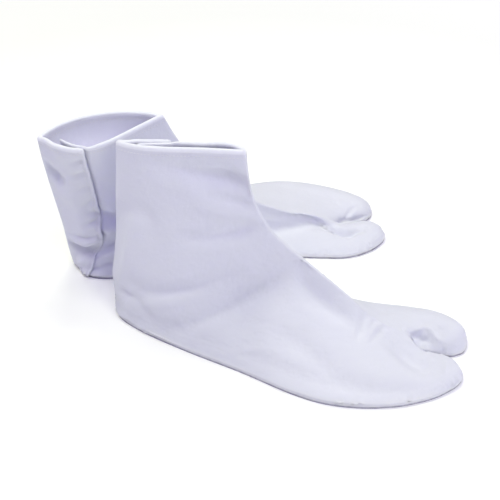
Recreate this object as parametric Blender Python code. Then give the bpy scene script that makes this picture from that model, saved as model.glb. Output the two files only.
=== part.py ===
"""Pair of split-toe ankle socks, standing empty on a flat surface.

Each sock is three pieces of cotton cloth: an outer upper that runs round the heel and
laps over the inner side as a closing flap, an inner upper with an underlap, and a sole
with a slit between the big toe and the other four. The sections of the uppers run from
the crease at the front round to the crease at the back, or down to the sole.
Lengths are in millimetres until each mesh is written. In a sock's own frame x runs from
the heel to the toes, y is positive towards the big-toe side, and z is up.
"""
import math

import bmesh
import bpy
import numpy as np

MM = 0.001
MERGE_DISTANCE = 0.00002

# cloth
WALL = 1.2
SOLE_THICKNESS = 2.0
SEAM_GAP = 0.3
LAP_CLEARANCE = 0.7
LAP_LIFT = WALL + LAP_CLEARANCE
CREASE_RADIUS = 1.9
SEAM_HEIGHT = SOLE_THICKNESS + SEAM_GAP

# rows of sections, counted from the cuff
HEEL_ROW = 6
FLAP_END_ROW = 7
CROTCH_ROW = 16
TOE_ROW = 20
ROWS_PER_STEP = 2
BODY_COLUMNS = 10
EDGE_STEPS = (0.0, 1.0, 2.1, 3.4)
LAP_SHARES = (0.0, 1.0 / 3.0, 2.0 / 3.0, 1.0)
WRAP_SHARES = (0.0, 0.08, 0.2, 0.42, 0.7, 1.0)
WRAP_EASE = 12.0
CURVE_POINTS = 96
SOFTENING_PASSES = 6
TROUGH_MARGIN = 9.0
TROUGH_SAMPLES = 40

# how far the underlap hangs away from the flap at the cuff
UNDERLAP_DRIFT = 3.2
UNDERLAP_DRIFT_ROWS = 3.0

# outline of the sole: (along, outer_side) and (along, inner_side)
SOLE_OUTER = (
    (0.0, 0.0), (8.8, -18.4), (30.0, -30.0), (66.0, -41.0), (106.0, -50.6),
    (143.0, -61.2), (166.0, -64.2), (188.0, -61.4), (208.0, -54.6), (222.0, -46.6),
    (231.5, -39.4), (237.6, -32.8), (242.0, -27.2), (244.6, -22.6),
    (245.8, -18.8),
)
SOLE_INNER = (
    (0.0, 0.0), (9.6, 19.0), (30.0, 26.4), (66.0, 27.6), (106.0, 27.6),
    (143.0, 28.4), (168.0, 31.6), (188.0, 36.8), (203.0, 40.4), (214.0, 40.2),
    (223.0, 38.0), (232.0, 34.0), (239.0, 29.0), (242.8, 24.6),
    (244.6, 20.4),
)
# edges of the slit between the toes, from its root to the tips
SLIT_OUTER = ((212.8, 0.2), (222.0, -0.4), (230.6, -1.2), (236.8, -3.2), (241.6, -6.6))
SLIT_INNER = ((212.8, 1.8), (222.0, 1.4), (230.0, 1.8), (236.8, 3.2), (241.8, 7.0))
RIM = {"outer": SOLE_OUTER, "inner": SOLE_INNER}
SLIT = {"outer": SLIT_OUTER, "inner": SLIT_INNER}
SIDE = {"outer": -1.0, "inner": 1.0}

# Each sock's pose. front and back: the two creases as (along, side, height), one row per
# section. outer and inner: how each section leaves the front crease and meets the back
# crease or the sole, as (front_run, front_out, front_lift, back_run, back_out, back_lift).
# flap and underlap: widths measured round the section from the back, one row per section.
# troughs: (half, depth, width, ((row, share of the way round), ...)).
RIGHT_SOCK = {
    "name": "right",
    "heel": (-36.14, 23.10),
    "turn": -0.28,
    "mirror": 1.0,
    "slack": 1.014,
    "front": (
        (95.4, 3.0, 135.8), (96.6, 3.0, 122.5), (98.8, 3.0, 108.0), (102.8, 3.0, 96.0),
        (107.8, 3.0, 86.0), (114.2, 3.0, 77.8), (121.0, 3.0, 71.6), (128.0, 3.0, 65.8),
        (136.4, 3.0, 59.2), (145.8, 3.0, 52.0), (156.4, 3.0, 43.8), (167.4, 3.0, 34.8),
        (178.4, 3.0, 25.4), (190.0, 3.0, 19.4), (201.4, 2.6, 15.6), (209.0, 2.0, 11.4),
        (212.8, 1.0, SEAM_HEIGHT),
    ),
    "back": (
        (9.3, 2.0, 129.8), (7.6, 2.0, 109.5), (5.6, 2.0, 87.0), (4.0, 2.0, 64.5),
        (1.6, 1.8, 43.5), (-1.2, 1.0, 22.0),
    ),
    "outer": (
        (-25, 3, 0, 22, 8, 0), (-26, 4.5, 0, 24, 9.5, 0), (-28, 7.5, -6, 25, 14, 4),
        (-31, 11, -10, 21, 21, 7), (-34, 16, -14, 13, 32, 9), (-36, 20, -17, 6, 41, 12),
        (-37, 23, -20, 4, 46, 23), (-35, 25, -21, 4, 24, 26), (-32, 27.5, -20, 5, 9, 22),
        (-26, 29, -16, 7, 5, 18), (-19, 28, -13, 6, 3.5, 15), (-10, 26, -9, 4, 2.5, 12.5),
        (-4, 22.5, -6, 3, 2, 11), (1, 19, -3, 2, 1.5, 10.5), (2, 14, -1, 1, 1, 11),
        (3, 9.5, 3, 1, 1, 12), (4, 5, 12, 2, 1, 12.5), (3, 1.5, 13, 2, 1, 12.5),
        (2, 0, 12.5, 2, 0.5, 12), (2, 0, 9.5, 2, 0.5, 9), (3.4, 3, 0, 0.8, -3.2, 0),
    ),
    "inner": (
        (-25, 8, 0, 22, 2.5, 0), (-26, 8.5, 0, 24, 4.5, 0), (-28, 10, -6, 25, 9.5, 4),
        (-31, 12, -10, 21, 17, 7), (-34, 15, -14, 13, 28, 9), (-36, 17.5, -17, 6, 36, 12),
        (-37, 19, -20, 4, 41, 23), (-35, 19, -21, 4, 19, 26), (-32, 18.5, -20, 5, 8, 23),
        (-26, 17.5, -17, 7, 6.5, 21), (-19, 15, -13, 6, 5.5, 19), (-10, 13, -9, 4, 4.5, 17.5),
        (-4, 12, -6, 3, 4, 17), (1, 11, -3, 2, 3.5, 16.5), (2, 9.5, -1, 1, 3, 16.5),
        (3, 8, 4, 1, 2.5, 17), (4, 5, 13, 2, 2.5, 17.5), (3, 1.5, 15, 2, 2, 17.5),
        (2, 0.5, 15, 2, 1.5, 16.5), (2, 0, 11.5, 2, 1, 13), (3.6, 3.4, 0, 0.9, -3.6, 0),
    ),
    "flap": (35.0, 34.5, 34.5, 34.5, 35.5, 36.5, 31.0, 4.0),
    "underlap": (19.0, 17.0, 15.0, 14.0, 13.0, 13.0, 12.0, 4.0),
    "troughs": (
        ("outer", 2.4, 9.0, ((8.4, 0.82), (7.7, 0.48), (6.8, 0.22))),
        ("outer", 1.8, 6.5, ((5.4, 0.9), (6.4, 0.78), (7.6, 0.86))),
        ("outer", 1.5, 6.5, ((0.3, 0.56), (0.6, 0.26), (1.6, 0.04))),
        ("outer", 1.3, 6.5, ((1.5, 0.34), (2.2, 0.14), (2.9, 0.03))),
        ("outer", 1.2, 6.5, ((3.2, 0.36), (3.7, 0.04))),
        ("inner", 2.2, 7.5, ((5.4, 0.84), (6.3, 0.56), (6.0, 0.3))),
        ("inner", 1.6, 7.0, ((2.3, 0.3), (3.2, 0.08))),
    ),
}
LEFT_SOCK = {
    "name": "left",
    "heel": (-73.46, 65.14),
    "turn": 0.23,
    "mirror": -1.0,
    "slack": 0.984,
    "front": (
        (73.6, 18.0, 126.6), (78.8, 16.0, 114.4), (84.6, 13.5, 102.6), (90.6, 11.0, 91.6),
        (97.0, 8.6, 81.6), (104.0, 6.6, 73.0), (111.2, 5.2, 65.0), (118.8, 4.2, 57.8),
        (127.2, 3.6, 50.6), (136.4, 3.2, 43.2), (147.0, 3.0, 35.8), (158.2, 3.0, 30.0),
        (170.2, 3.0, 24.4), (182.4, 3.0, 21.2), (193.4, 3.0, 17.0), (204.6, 2.4, 11.4),
        (212.8, 1.0, SEAM_HEIGHT),
    ),
    "back": (
        (-13.9, 18.0, 119.8), (-12.5, 15.0, 102.9), (-9.8, 11.2, 80.5), (-6.8, 7.4, 59.0),
        (-4.0, 4.0, 38.0), (-2.2, 1.6, 18.0),
    ),
    "outer": (
        (-25, 14, 2, 20, 24, 2), (-26, 13, 0, 22, 22, 0), (-28, 13, -6, 24, 22, 4),
        (-31, 14, -10, 21, 24, 7), (-34, 17, -14, 13, 33, 9), (-36, 20, -17, 6, 41, 11),
        (-37, 23, -19, 4, 46, 22), (-35, 25.5, -19, 4, 24, 25), (-32, 28, -16, 5, 9, 22),
        (-26, 31, -11, 7, 6, 22), (-19, 32, -7, 6, 4.5, 22), (-10, 31, -4, 4, 4, 22),
        (-4, 29, -2, 3, 3.5, 21), (1, 24, -2, 2, 3, 20), (2, 18, -2, 1, 2.5, 19),
        (3, 12, 2, 1, 2, 18), (4, 5, 12, 2, 1.5, 17), (3, 1.5, 13, 2, 1, 15.5),
        (2, 0, 12.5, 2, 0.5, 14), (2, 0, 9.5, 2, 0.5, 10), (3.4, 3, 0, 0.8, -3.2, 0),
    ),
    "inner": (
        (-46, 22, -5, 36, 32, -4), (-42, 19, -6, 34, 30, -2), (-38, 16, -8, 29, 28, 2),
        (-35, 14, -11, 23, 28, 5), (-34, 15, -14, 13, 32, 8), (-36, 16, -17, 6, 37, 10),
        (-37, 15.5, -19, 4, 40, 21), (-35, 13.5, -19, 4, 19, 22), (-32, 10.5, -17, 5, 7, 18),
        (-26, 7, -15, 7, 3, 14), (-19, 4, -14, 6, 0.5, 11), (-10, 2.5, -13, 4, -1, 9),
        (-4, 2, -11, 3, -2, 8), (1, 2.5, -9, 2, -1, 8), (2, 3.5, -5, 1, 0, 9),
        (3, 5, 1, 1, 1, 10), (4, 4, 11, 2, 1, 11), (3, 1.5, 13, 2, 1, 12),
        (2, 0.5, 12.5, 2, 0.5, 12), (2, 0, 9.5, 2, 0.5, 9), (3.6, 3.4, 0, 0.9, -3.6, 0),
    ),
    "flap": (35.5, 34.6, 34.6, 34.6, 36.0, 37.4, 31.5, 4.0),
    "underlap": (19.0, 17.0, 15.0, 14.0, 13.0, 13.0, 12.0, 4.0),
    "troughs": (
        ("inner", 2.8, 7.0, ((4.6, 0.96), (5.3, 0.87), (5.9, 0.76), (5.6, 0.58))),
        ("inner", 2.2, 7.0, ((3.4, 0.72), (4.4, 0.54))),
        ("inner", 1.5, 6.5, ((6.8, 0.86), (7.8, 0.88))),
        ("inner", 1.5, 6.5, ((1.5, 0.96), (1.9, 0.84))),
        ("outer", 2.2, 9.0, ((8.2, 0.8), (7.5, 0.5), (6.6, 0.24))),
        ("outer", 1.8, 6.5, ((4.9, 0.92), (5.9, 0.8), (6.8, 0.82))),
        ("outer", 1.4, 6.5, ((2.2, 0.32), (3.1, 0.06))),
    ),
}

# the pair is centred on the origin
PAIR_CENTRE = (62.595, 39.318)

UPPER_COLOUR = (0.86, 0.86, 0.92, 1.0)
SOLE_COLOUR = (0.82, 0.82, 0.87, 1.0)
CLOTH_ROUGHNESS = 0.9


def clear_scene():
    for item in list(bpy.data.objects):
        bpy.data.objects.remove(item, do_unlink=True)


def ease(value, low, high):
    """Smooth step from 0 at low to 1 at high."""
    share = np.clip((value - low) / (high - low), 0.0, 1.0)
    return share * share * (3.0 - 2.0 * share)


def spline(rows, position):
    """Point on the smooth curve that passes through each row of a table."""
    table = np.asarray(rows, dtype=float)
    position = min(max(position, 0.0), len(table) - 1.0)
    index = min(int(position), len(table) - 2)
    t = position - index
    here, after = table[index], table[index + 1]
    before = table[index - 1] if index > 0 else 2.0 * here - after
    beyond = table[index + 2] if index + 2 < len(table) else 2.0 * after - here
    return 0.5 * (
        2.0 * here
        + (after - before) * t
        + (2.0 * before - 5.0 * here + 4.0 * after - beyond) * t ** 2
        + (3.0 * here - before - 3.0 * after + beyond) * t ** 3
    )


def front_point(sock, half, row):
    """Point of the front crease, then of the slit's edge beyond its root."""
    if row > CROTCH_ROW:
        along, side = spline(SLIT[half], row - CROTCH_ROW)
        return np.array([along, side, SEAM_HEIGHT])
    point = spline(sock["front"], row)
    point[1] += 0.5 * SEAM_GAP * SIDE[half]
    return point


def back_point(sock, half, row):
    """Point of the back crease, then of the sole's rim from the heel on."""
    if row >= HEEL_ROW:
        along, side = spline(RIM[half], row - HEEL_ROW)
        return np.array([along, side, SEAM_HEIGHT])
    heel = (RIM[half][0][0], RIM[half][0][1], SEAM_HEIGHT)
    return spline(sock["back"] + (heel,), row)


def crease_turn(corner, handle, outward, inward, radius):
    """Small round turn at a crease, from straight out to the way the cloth leaves it."""
    angle = math.atan2(float(handle @ inward), float(handle @ outward))
    steps = [angle * step / 8 for step in range(9)]
    return np.array([
        corner + radius * (math.sin(a) * outward + (1.0 - math.cos(a)) * inward) for a in steps
    ])


def section_curve(sock, half, row):
    """One section of an upper, from the front crease round to the back."""
    start = front_point(sock, half, row)
    end = back_point(sock, half, row)
    handles = spline(sock[half], row)
    mirror = np.array([1.0, SIDE[half], 1.0])
    start_handle = handles[:3] * mirror
    end_handle = handles[3:] * mirror
    outward = np.array([0.0, SIDE[half], 0.0])
    chord = (end - start) * np.array([1.0, 0.0, 1.0])
    chord = chord / max(float(np.linalg.norm(chord)), 1e-6)
    front_radius = CREASE_RADIUS * (1.0 - ease(row, CROTCH_ROW - 2.0, CROTCH_ROW))
    back_radius = CREASE_RADIUS * (1.0 - ease(row, HEEL_ROW - 1.0, HEEL_ROW))
    head = crease_turn(start, start_handle, outward, chord, front_radius)
    tail = crease_turn(end, end_handle, outward, -chord, back_radius)[::-1]
    near, far = head[-1], tail[0]
    t = np.linspace(0.0, 1.0, CURVE_POINTS)[:, None]
    middle = (
        (1.0 - t) ** 3 * near
        + 3.0 * (1.0 - t) ** 2 * t * (near + start_handle)
        + 3.0 * (1.0 - t) * t ** 2 * (far + end_handle)
        + t ** 3 * far
    )
    return np.vstack([head[:-1], middle, tail[1:]])


def path_lengths(curve):
    steps = np.linalg.norm(np.diff(curve, axis=0), axis=1)
    return np.concatenate([[0.0], np.cumsum(steps)])


def values_along(curve, values, distances):
    """Values that belong to a curve's points, read at distances along it."""
    lengths = path_lengths(curve)
    return np.stack([np.interp(distances, lengths, values[:, axis]) for axis in range(3)], axis=1)


def points_along(curve, distances):
    return values_along(curve, curve, distances)


def row_positions(last_row):
    return [step / ROWS_PER_STEP for step in range(last_row * ROWS_PER_STEP + 1)]


def body_distances(length, end_zone):
    """Column places round a section: close at the front crease, even over the body."""
    inner_end = length - end_zone
    body = np.linspace(EDGE_STEPS[-1], inner_end, BODY_COLUMNS + 1)
    return list(EDGE_STEPS[:-1]) + list(body)


def soften(grid, held):
    """Ease a grid of points, keeping its border and the columns next to the creases."""
    grid = grid.copy()
    for _ in range(SOFTENING_PASSES):
        mean = 0.25 * (grid[:-2, 1:-1] + grid[2:, 1:-1] + grid[1:-1, :-2] + grid[1:-1, 2:])
        change = 0.5 * (mean - grid[1:-1, 1:-1])
        grid[1:-1, held:-held] += change[:, held - 1:change.shape[1] + 1 - held]
    return grid


def half_form(sock, half):
    """The full form of one half of a sock, as rows of points from front crease to back."""
    rows = []
    for row in row_positions(TOE_ROW):
        curve = section_curve(sock, half, row)
        length = path_lengths(curve)[-1]
        ends = [length - step for step in EDGE_STEPS[::-1]]
        distances = body_distances(length, EDGE_STEPS[-1]) + ends[1:]
        rows.append(points_along(curve, distances))
    grid = soften(np.array(rows), len(EDGE_STEPS) - 1)
    return press_troughs(grid, half, [item for item in sock["troughs"] if item[0] == half])


def grid_point(grid, row, share):
    """Point of a grid at a section row and a share of the way round."""
    place = row * ROWS_PER_STEP
    index = min(int(place), len(grid) - 2)
    mix = place - index
    line = grid[index] * (1.0 - mix) + grid[index + 1] * mix
    return points_along(line, [share * path_lengths(line)[-1]])[0]


def grid_normals(grid):
    """Unit normals of a grid, all on one side of it."""
    down = np.gradient(grid, axis=0)
    across = np.gradient(grid, axis=1)
    normals = np.cross(down, across)
    sizes = np.linalg.norm(normals, axis=2, keepdims=True)
    return normals / np.maximum(sizes, 1e-9)


def outward_normals(grid, half):
    normals = grid_normals(grid)
    middle = normals[len(grid) // 4, grid.shape[1] // 2]
    return normals * (1.0 if middle[1] * SIDE[half] > 0.0 else -1.0)


def clear_of_edges(grid):
    """How freely each point may move: 0 at a crease or on the sole, 1 well inside."""
    lengths = np.array([path_lengths(line) for line in grid])
    nearest = np.minimum(lengths, lengths[:, -1:] - lengths)
    return ease(nearest, 0.0, TROUGH_MARGIN)


def press_troughs(grid, half, troughs):
    """Press soft troughs into the cloth, each along a line given in rows and shares."""
    free = clear_of_edges(grid)
    for _, depth, width, places in troughs:
        line = np.array([grid_point(grid, row, share) for row, share in places])
        samples = points_along(line, np.linspace(0.0, path_lengths(line)[-1], TROUGH_SAMPLES))
        gaps = np.linalg.norm(grid[:, :, None, :] - samples[None, None], axis=3)
        place = (gaps.argmin(axis=2) + 0.5) / TROUGH_SAMPLES
        fade = np.sin(np.pi * place) ** 0.5
        amount = depth * fade * free * np.exp(-((gaps.min(axis=2) / width) ** 2))
        grid = grid - outward_normals(grid, half) * amount[:, :, None]
    return grid


def lap_widths(sock, row):
    """Distances from the back of the flap's free edge and of the underlap's edge."""
    flap = float(spline([(width,) for width in sock["flap"]], row)[0])
    underlap = float(spline([(width,) for width in sock["underlap"]], row)[0])
    return flap, max(flap - underlap, 0.0)


def inner_panel(sock, form):
    """The inner upper: its form as far as the underlap's edge, then down to the sole."""
    rows = []
    for index, line in enumerate(form):
        length = path_lengths(line)[-1]
        flap, edge = lap_widths(sock, index / ROWS_PER_STEP)
        places = body_distances(length, flap)[:-1]
        places += [length - edge - (flap - edge) * share for share in LAP_SHARES[::-1]]
        rows.append(points_along(line, places))
    panel = np.array(rows)
    normals = outward_normals(panel, "inner")
    first = panel.shape[1] - len(LAP_SHARES)
    for index in range(int(UNDERLAP_DRIFT_ROWS * ROWS_PER_STEP)):
        depth = UNDERLAP_DRIFT * (1.0 - ease(index / ROWS_PER_STEP, 0.0, UNDERLAP_DRIFT_ROWS))
        for step, share in enumerate(LAP_SHARES):
            panel[index, first + step] -= normals[index, first + step] * depth * share ** 1.5
    return panel


def flap_panel(sock, form):
    """The part of the outer upper that wraps the heel and laps over the inner upper."""
    normals = outward_normals(form, "inner")
    rows = []
    for index in range(FLAP_END_ROW * ROWS_PER_STEP + 1):
        line = form[index]
        length = path_lengths(line)[-1]
        flap, edge = lap_widths(sock, index / ROWS_PER_STEP)
        places = [edge * share for share in WRAP_SHARES]
        places += [edge + (flap - edge) * share for share in LAP_SHARES[1:]]
        from_front = [length - place for place in places]
        points = points_along(line, from_front)
        directions = values_along(line, normals[index], from_front)
        lift = ease(np.array(places), edge - WRAP_EASE, edge - 1.0)
        if index >= HEEL_ROW * ROWS_PER_STEP:
            directions[0, 2] = 0.0
        raised = points + directions * (LAP_LIFT * lift)[:, None]
        raised[:, 2] = np.maximum(raised[:, 2], SEAM_HEIGHT)
        rows.append(raised)
    return np.array(rows)


def add_grid(mesh, grid):
    """Add a grid of points as a sheet of quads, and return its rows of vertices."""
    verts = [[mesh.verts.new(point) for point in line] for line in grid]
    for line, following in zip(verts, verts[1:]):
        for index in range(len(line) - 1):
            mesh.faces.new((line[index], line[index + 1], following[index + 1], following[index]))
    return verts


def face_outward(mesh, probe_side):
    """Turn all faces of an open sheet so that those on one side point that way."""
    bmesh.ops.recalc_face_normals(mesh, faces=mesh.faces)
    lean = sum(face.normal.y * face.calc_area() for face in mesh.faces
               if face.calc_center_median().y * probe_side > 0.0)
    if lean * probe_side < 0.0:
        bmesh.ops.reverse_faces(mesh, faces=mesh.faces)
    mesh.normal_update()


def give_thickness(mesh, crease):
    """Close a sheet into a wall of cloth that lies inside it.

    Points on the sole's seam step in level with it, and points of the front crease step
    straight back, so that neighbouring pieces stay clear of each other.
    """
    borders = [edge for edge in mesh.edges if edge.is_boundary]
    outer_faces = list(mesh.faces)
    places = {}
    for vert in mesh.verts:
        step = -vert.normal
        if vert.is_boundary and vert.co.z < SEAM_HEIGHT + MERGE_DISTANCE / MM:
            step.z = 0.0
        if vert in crease:
            step.y = 0.0
        place = vert.co + step.normalized() * WALL
        place.z = max(place.z, SEAM_HEIGHT)
        places[vert] = place
    inner_of = {vert: mesh.verts.new(place) for vert, place in places.items()}
    for face in outer_faces:
        mesh.faces.new([inner_of[vert] for vert in reversed(face.verts)])
    for edge in borders:
        loop = edge.link_loops[0]
        ahead, behind = loop.vert, loop.link_loop_next.vert
        mesh.faces.new((behind, ahead, inner_of[ahead], inner_of[behind]))


def to_pair(sock, point):
    """A point of a sock's own frame, placed in the pair and in metres."""
    turn = sock["turn"]
    along = point.x * sock["slack"]
    side = point.y * sock["mirror"]
    heel_x, heel_y = sock["heel"]
    return (
        (heel_x + along * math.cos(turn) - side * math.sin(turn) - PAIR_CENTRE[0]) * MM,
        (heel_y + along * math.sin(turn) + side * math.cos(turn) - PAIR_CENTRE[1]) * MM,
        point.z * MM,
    )


def cloth_material(name, colour):
    material = bpy.data.materials.new(name)
    material.use_nodes = True
    shader = material.node_tree.nodes["Principled BSDF"]
    shader.inputs["Base Color"].default_value = colour
    shader.inputs["Roughness"].default_value = CLOTH_ROUGHNESS
    shader.inputs["Metallic"].default_value = 0.0
    return material


def finish_piece(sock, mesh, name, colour):
    """Place a closed piece in the pair and make it a named object."""
    for vert in mesh.verts:
        vert.co = to_pair(sock, vert.co)
    bmesh.ops.triangulate(mesh, faces=mesh.faces)
    bmesh.ops.recalc_face_normals(mesh, faces=mesh.faces)
    full_name = sock["name"] + "_" + name
    data = bpy.data.meshes.new(full_name)
    mesh.to_mesh(data)
    mesh.free()
    data.materials.append(cloth_material(full_name + "_cloth", colour))
    piece = bpy.data.objects.new(full_name, data)
    bpy.context.collection.objects.link(piece)
    return piece


def build_upper(sock, name, grids, probe_side):
    """One upper: its grids joined into a sheet and given thickness."""
    mesh = bmesh.new()
    sheets = [add_grid(mesh, grid) for grid in grids]
    crease = {line[0] for line in sheets[0][:CROTCH_ROW * ROWS_PER_STEP]}
    bmesh.ops.remove_doubles(mesh, verts=mesh.verts, dist=MERGE_DISTANCE / MM)
    face_outward(mesh, probe_side)
    give_thickness(mesh, crease)
    return finish_piece(sock, mesh, name, UPPER_COLOUR)


def sole_outline(forms):
    """The sole's outline, which follows the lower edges of both uppers."""
    heel = HEEL_ROW * ROWS_PER_STEP
    crotch = CROTCH_ROW * ROWS_PER_STEP
    outer, inner = forms["outer"], forms["inner"]
    return np.vstack([
        outer[heel:, -1],
        outer[-1, -2:0:-1],
        outer[:crotch:-1, 0],
        0.5 * (outer[crotch:crotch + 1, 0] + inner[crotch:crotch + 1, 0]),
        inner[crotch + 1:, 0],
        inner[-1, 1:-1],
        inner[:heel:-1, -1],
    ])


def build_sole(sock, forms):
    mesh = bmesh.new()
    outline = sole_outline(forms)
    rim = [mesh.verts.new((x, y, SOLE_THICKNESS)) for x, y, _ in outline]
    edges = [mesh.edges.new(pair) for pair in zip(rim, rim[1:] + rim[:1])]
    top = bmesh.ops.triangle_fill(mesh, edges=edges, use_beauty=True)
    faces = [item for item in top["geom"] if isinstance(item, bmesh.types.BMFace)]
    walls = bmesh.ops.extrude_face_region(mesh, geom=faces)
    lowered = [item for item in walls["geom"] if isinstance(item, bmesh.types.BMVert)]
    for vert in lowered:
        vert.co.z = 0.0
    return finish_piece(sock, mesh, "sole", SOLE_COLOUR)


def build_sock(sock):
    forms = {half: half_form(sock, half) for half in ("outer", "inner")}
    outer_grids = [forms["outer"], flap_panel(sock, forms["inner"])]
    build_upper(sock, "outer_upper", outer_grids, SIDE["outer"])
    build_upper(sock, "inner_upper", [inner_panel(sock, forms["inner"])], SIDE["inner"])
    build_sole(sock, forms)


def main():
    clear_scene()
    for sock in (RIGHT_SOCK, LEFT_SOCK):
        build_sock(sock)


main()
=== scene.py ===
"""Looks of a pair of split-toe ankle socks in white cotton.

Each upper is a thin wall of cloth on its solid's form, with folded hems, seams, stitches
and creases. Lengths are in millimetres until a mesh is finished. In a sock's own frame x
runs from the heel to the toes, y is positive towards the big-toe side, and z is up.
"""
import functools
import math

import bmesh
import bpy
import numpy as np
from mathutils import Matrix, Vector


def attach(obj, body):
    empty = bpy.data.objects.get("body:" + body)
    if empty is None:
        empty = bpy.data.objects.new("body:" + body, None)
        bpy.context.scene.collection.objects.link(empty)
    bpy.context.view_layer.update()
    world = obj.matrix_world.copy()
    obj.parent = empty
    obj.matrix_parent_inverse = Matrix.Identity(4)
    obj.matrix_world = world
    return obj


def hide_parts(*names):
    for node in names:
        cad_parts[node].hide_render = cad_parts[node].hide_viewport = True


bl_info = {
    "name": "Split-toe Socks",
    "version": (1, 0, 0),
    "blender": (4, 5, 0),
    "location": "3D Viewport > Sidebar > Socks",
    "description": "Dresses a pair of split-toe socks with cloth, hems, creases and stitches",
    "category": "Object",
}

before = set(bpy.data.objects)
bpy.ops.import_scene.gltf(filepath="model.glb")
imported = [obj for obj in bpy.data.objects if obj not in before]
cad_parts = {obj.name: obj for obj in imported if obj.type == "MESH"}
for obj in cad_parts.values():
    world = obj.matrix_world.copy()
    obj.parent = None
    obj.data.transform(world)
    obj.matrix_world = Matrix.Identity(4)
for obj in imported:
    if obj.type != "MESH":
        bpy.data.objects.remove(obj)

MM = 0.001
SEAM_HEIGHT = 2.3
SEAM_GAP = 0.3
CREASE_RADIUS = 1.9
CREASE_STEPS = 8
HEEL_ROW = 6
FLAP_END_ROW = 7
CROTCH_ROW = 16
TOE_ROW = 20
PAIR_CENTRE = (62.595, 39.318)

# coarse grid that the cloth is eased on
COARSE_PER_ROW = 2
BODY_COLUMNS = 10
EDGE_STEPS = (0.0, 1.0, 2.1, 3.4)
COARSE_COLUMNS = 2 * (len(EDGE_STEPS) - 1) + BODY_COLUMNS
CURVE_POINTS = 96
COARSE_PASSES = 6
COARSE_HELD = 3

# fine grid that the cloth is shown on
FINE_PER_ROW = 10
HEEL_LINE = HEEL_ROW * FINE_PER_ROW
CROTCH_LINE = CROTCH_ROW * FINE_PER_ROW
EDGE_DIVISIONS = 3
BODY_DIVISIONS = 6
FINE_PASSES = 12
FINE_HELD = 6

# the flap and the underlap: divisions, how they are spaced, and where each effect ends
LAP_LIFT = 1.9
WRAP_EASE = 12.0
WRAP_DIVISIONS = 26
WRAP_POWER = 1.6
LAP_DIVISIONS = 14
UNDERLAP_DRIFT_ROWS = 3.0
DRIFT_POWER = 1.5
FLAP_FOLDS_END = (6.2, 6.8)

# creases: how far they stay from a piece's edges, and how many widths they reach
TROUGH_MARGIN = 9.0
EDGE_CLEARANCE = 3.2
FOLD_SAMPLES = 48
FOLD_REACH = 3.0

# the stage: soft boxes and lamps as (name, place, size, power, colour), and the camera
FLOOR_SIZE = 40.0
LIGHT_TARGET = (0.0, 0.0, 0.05)
LIGHTS = (
    ("top_back", (0.0, 0.49, 1.21), (0.6, 0.45), 5.9, (1.0, 1.02, 0.8)),
    ("top_front", (0.0, -0.49, 1.21), (0.6, 0.45), 3.2, (0.96, 0.86, 1.4)),
    ("top_left", (-0.49, 0.0, 1.21), (0.6, 0.45), 4.9, (1.0, 1.12, 0.6)),
    ("window", (0.7, -0.7, 0.84), (0.6, 0.45), 4.8, (1.04, 1.06, 0.8)),
    ("left", (-1.0, 0.0, 0.84), (0.6, 0.45), 2.9, (1.05, 0.94, 1.06)),
    ("right_back", (0.7, 0.7, 0.84), (0.6, 0.45), 2.4, (1.0, 0.96, 1.08)),
    ("low_right", (0.516, -0.298, 0.073), (0.25, 0.12), 0.32, (1.0, 1.0, 1.1)),
    ("low_front", (0.05, -0.45, 0.06), (0.5, 0.06), 0.12, (1.0, 1.0, 1.0)),
)
# faint lamps in the middle of each leg, for the light that thin cloth lets through
LEG_LIGHTS = (
    ((-0.0952, 0.0319, 0.0518), 0.018),
    ((-0.1027, 0.0237, 0.0721), 0.013),
    ((-0.0508, -0.0292, 0.0501), 0.006),
    ((-0.0368, -0.0313, 0.1001), 0.0008),
    ((-0.0626, -0.0246, 0.1128), 0.0006),
)
LEG_LIGHT_RADIUS = 0.006
LEG_LIGHT_COLOUR = (1.0, 0.95, 0.9)
WORLD_COLOUR = (0.1, 0.05, 1.0)
WORLD_STRENGTH = 0.1
# the floor glows a little near the socks, and more far away, where the lamps don't reach
FLOOR_GLOW = (0.08, 1.0)
FLOOR_GLOW_REACH = (0.5, 2.0)
CAMERA_LENS = 72.0
CAMERA_SENSOR = 36.0
CAMERA_TILT = 0.6254
CAMERA_PLACE = (-0.002595, -0.58136, 0.45142)

# outline of the sole: (along, outer_side) and (along, inner_side)
SOLE_OUTER = (
    (0.0, 0.0), (8.8, -18.4), (30.0, -30.0), (66.0, -41.0), (106.0, -50.6),
    (143.0, -61.2), (166.0, -64.2), (188.0, -61.4), (208.0, -54.6), (222.0, -46.6),
    (231.5, -39.4), (237.6, -32.8), (242.0, -27.2), (244.6, -22.6),
    (245.8, -18.8),
)
SOLE_INNER = (
    (0.0, 0.0), (9.6, 19.0), (30.0, 26.4), (66.0, 27.6), (106.0, 27.6),
    (143.0, 28.4), (168.0, 31.6), (188.0, 36.8), (203.0, 40.4), (214.0, 40.2),
    (223.0, 38.0), (232.0, 34.0), (239.0, 29.0), (242.8, 24.6),
    (244.6, 20.4),
)
# edges of the slit between the toes, from its root to the tips
SLIT_OUTER = ((212.8, 0.2), (222.0, -0.4), (230.6, -1.2), (236.8, -3.2), (241.6, -6.6))
SLIT_INNER = ((212.8, 1.8), (222.0, 1.4), (230.0, 1.8), (236.8, 3.2), (241.8, 7.0))
RIM = {"outer": SOLE_OUTER, "inner": SOLE_INNER}
SLIT = {"outer": SLIT_OUTER, "inner": SLIT_INNER}
SIDE = {"outer": -1.0, "inner": 1.0}

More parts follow.
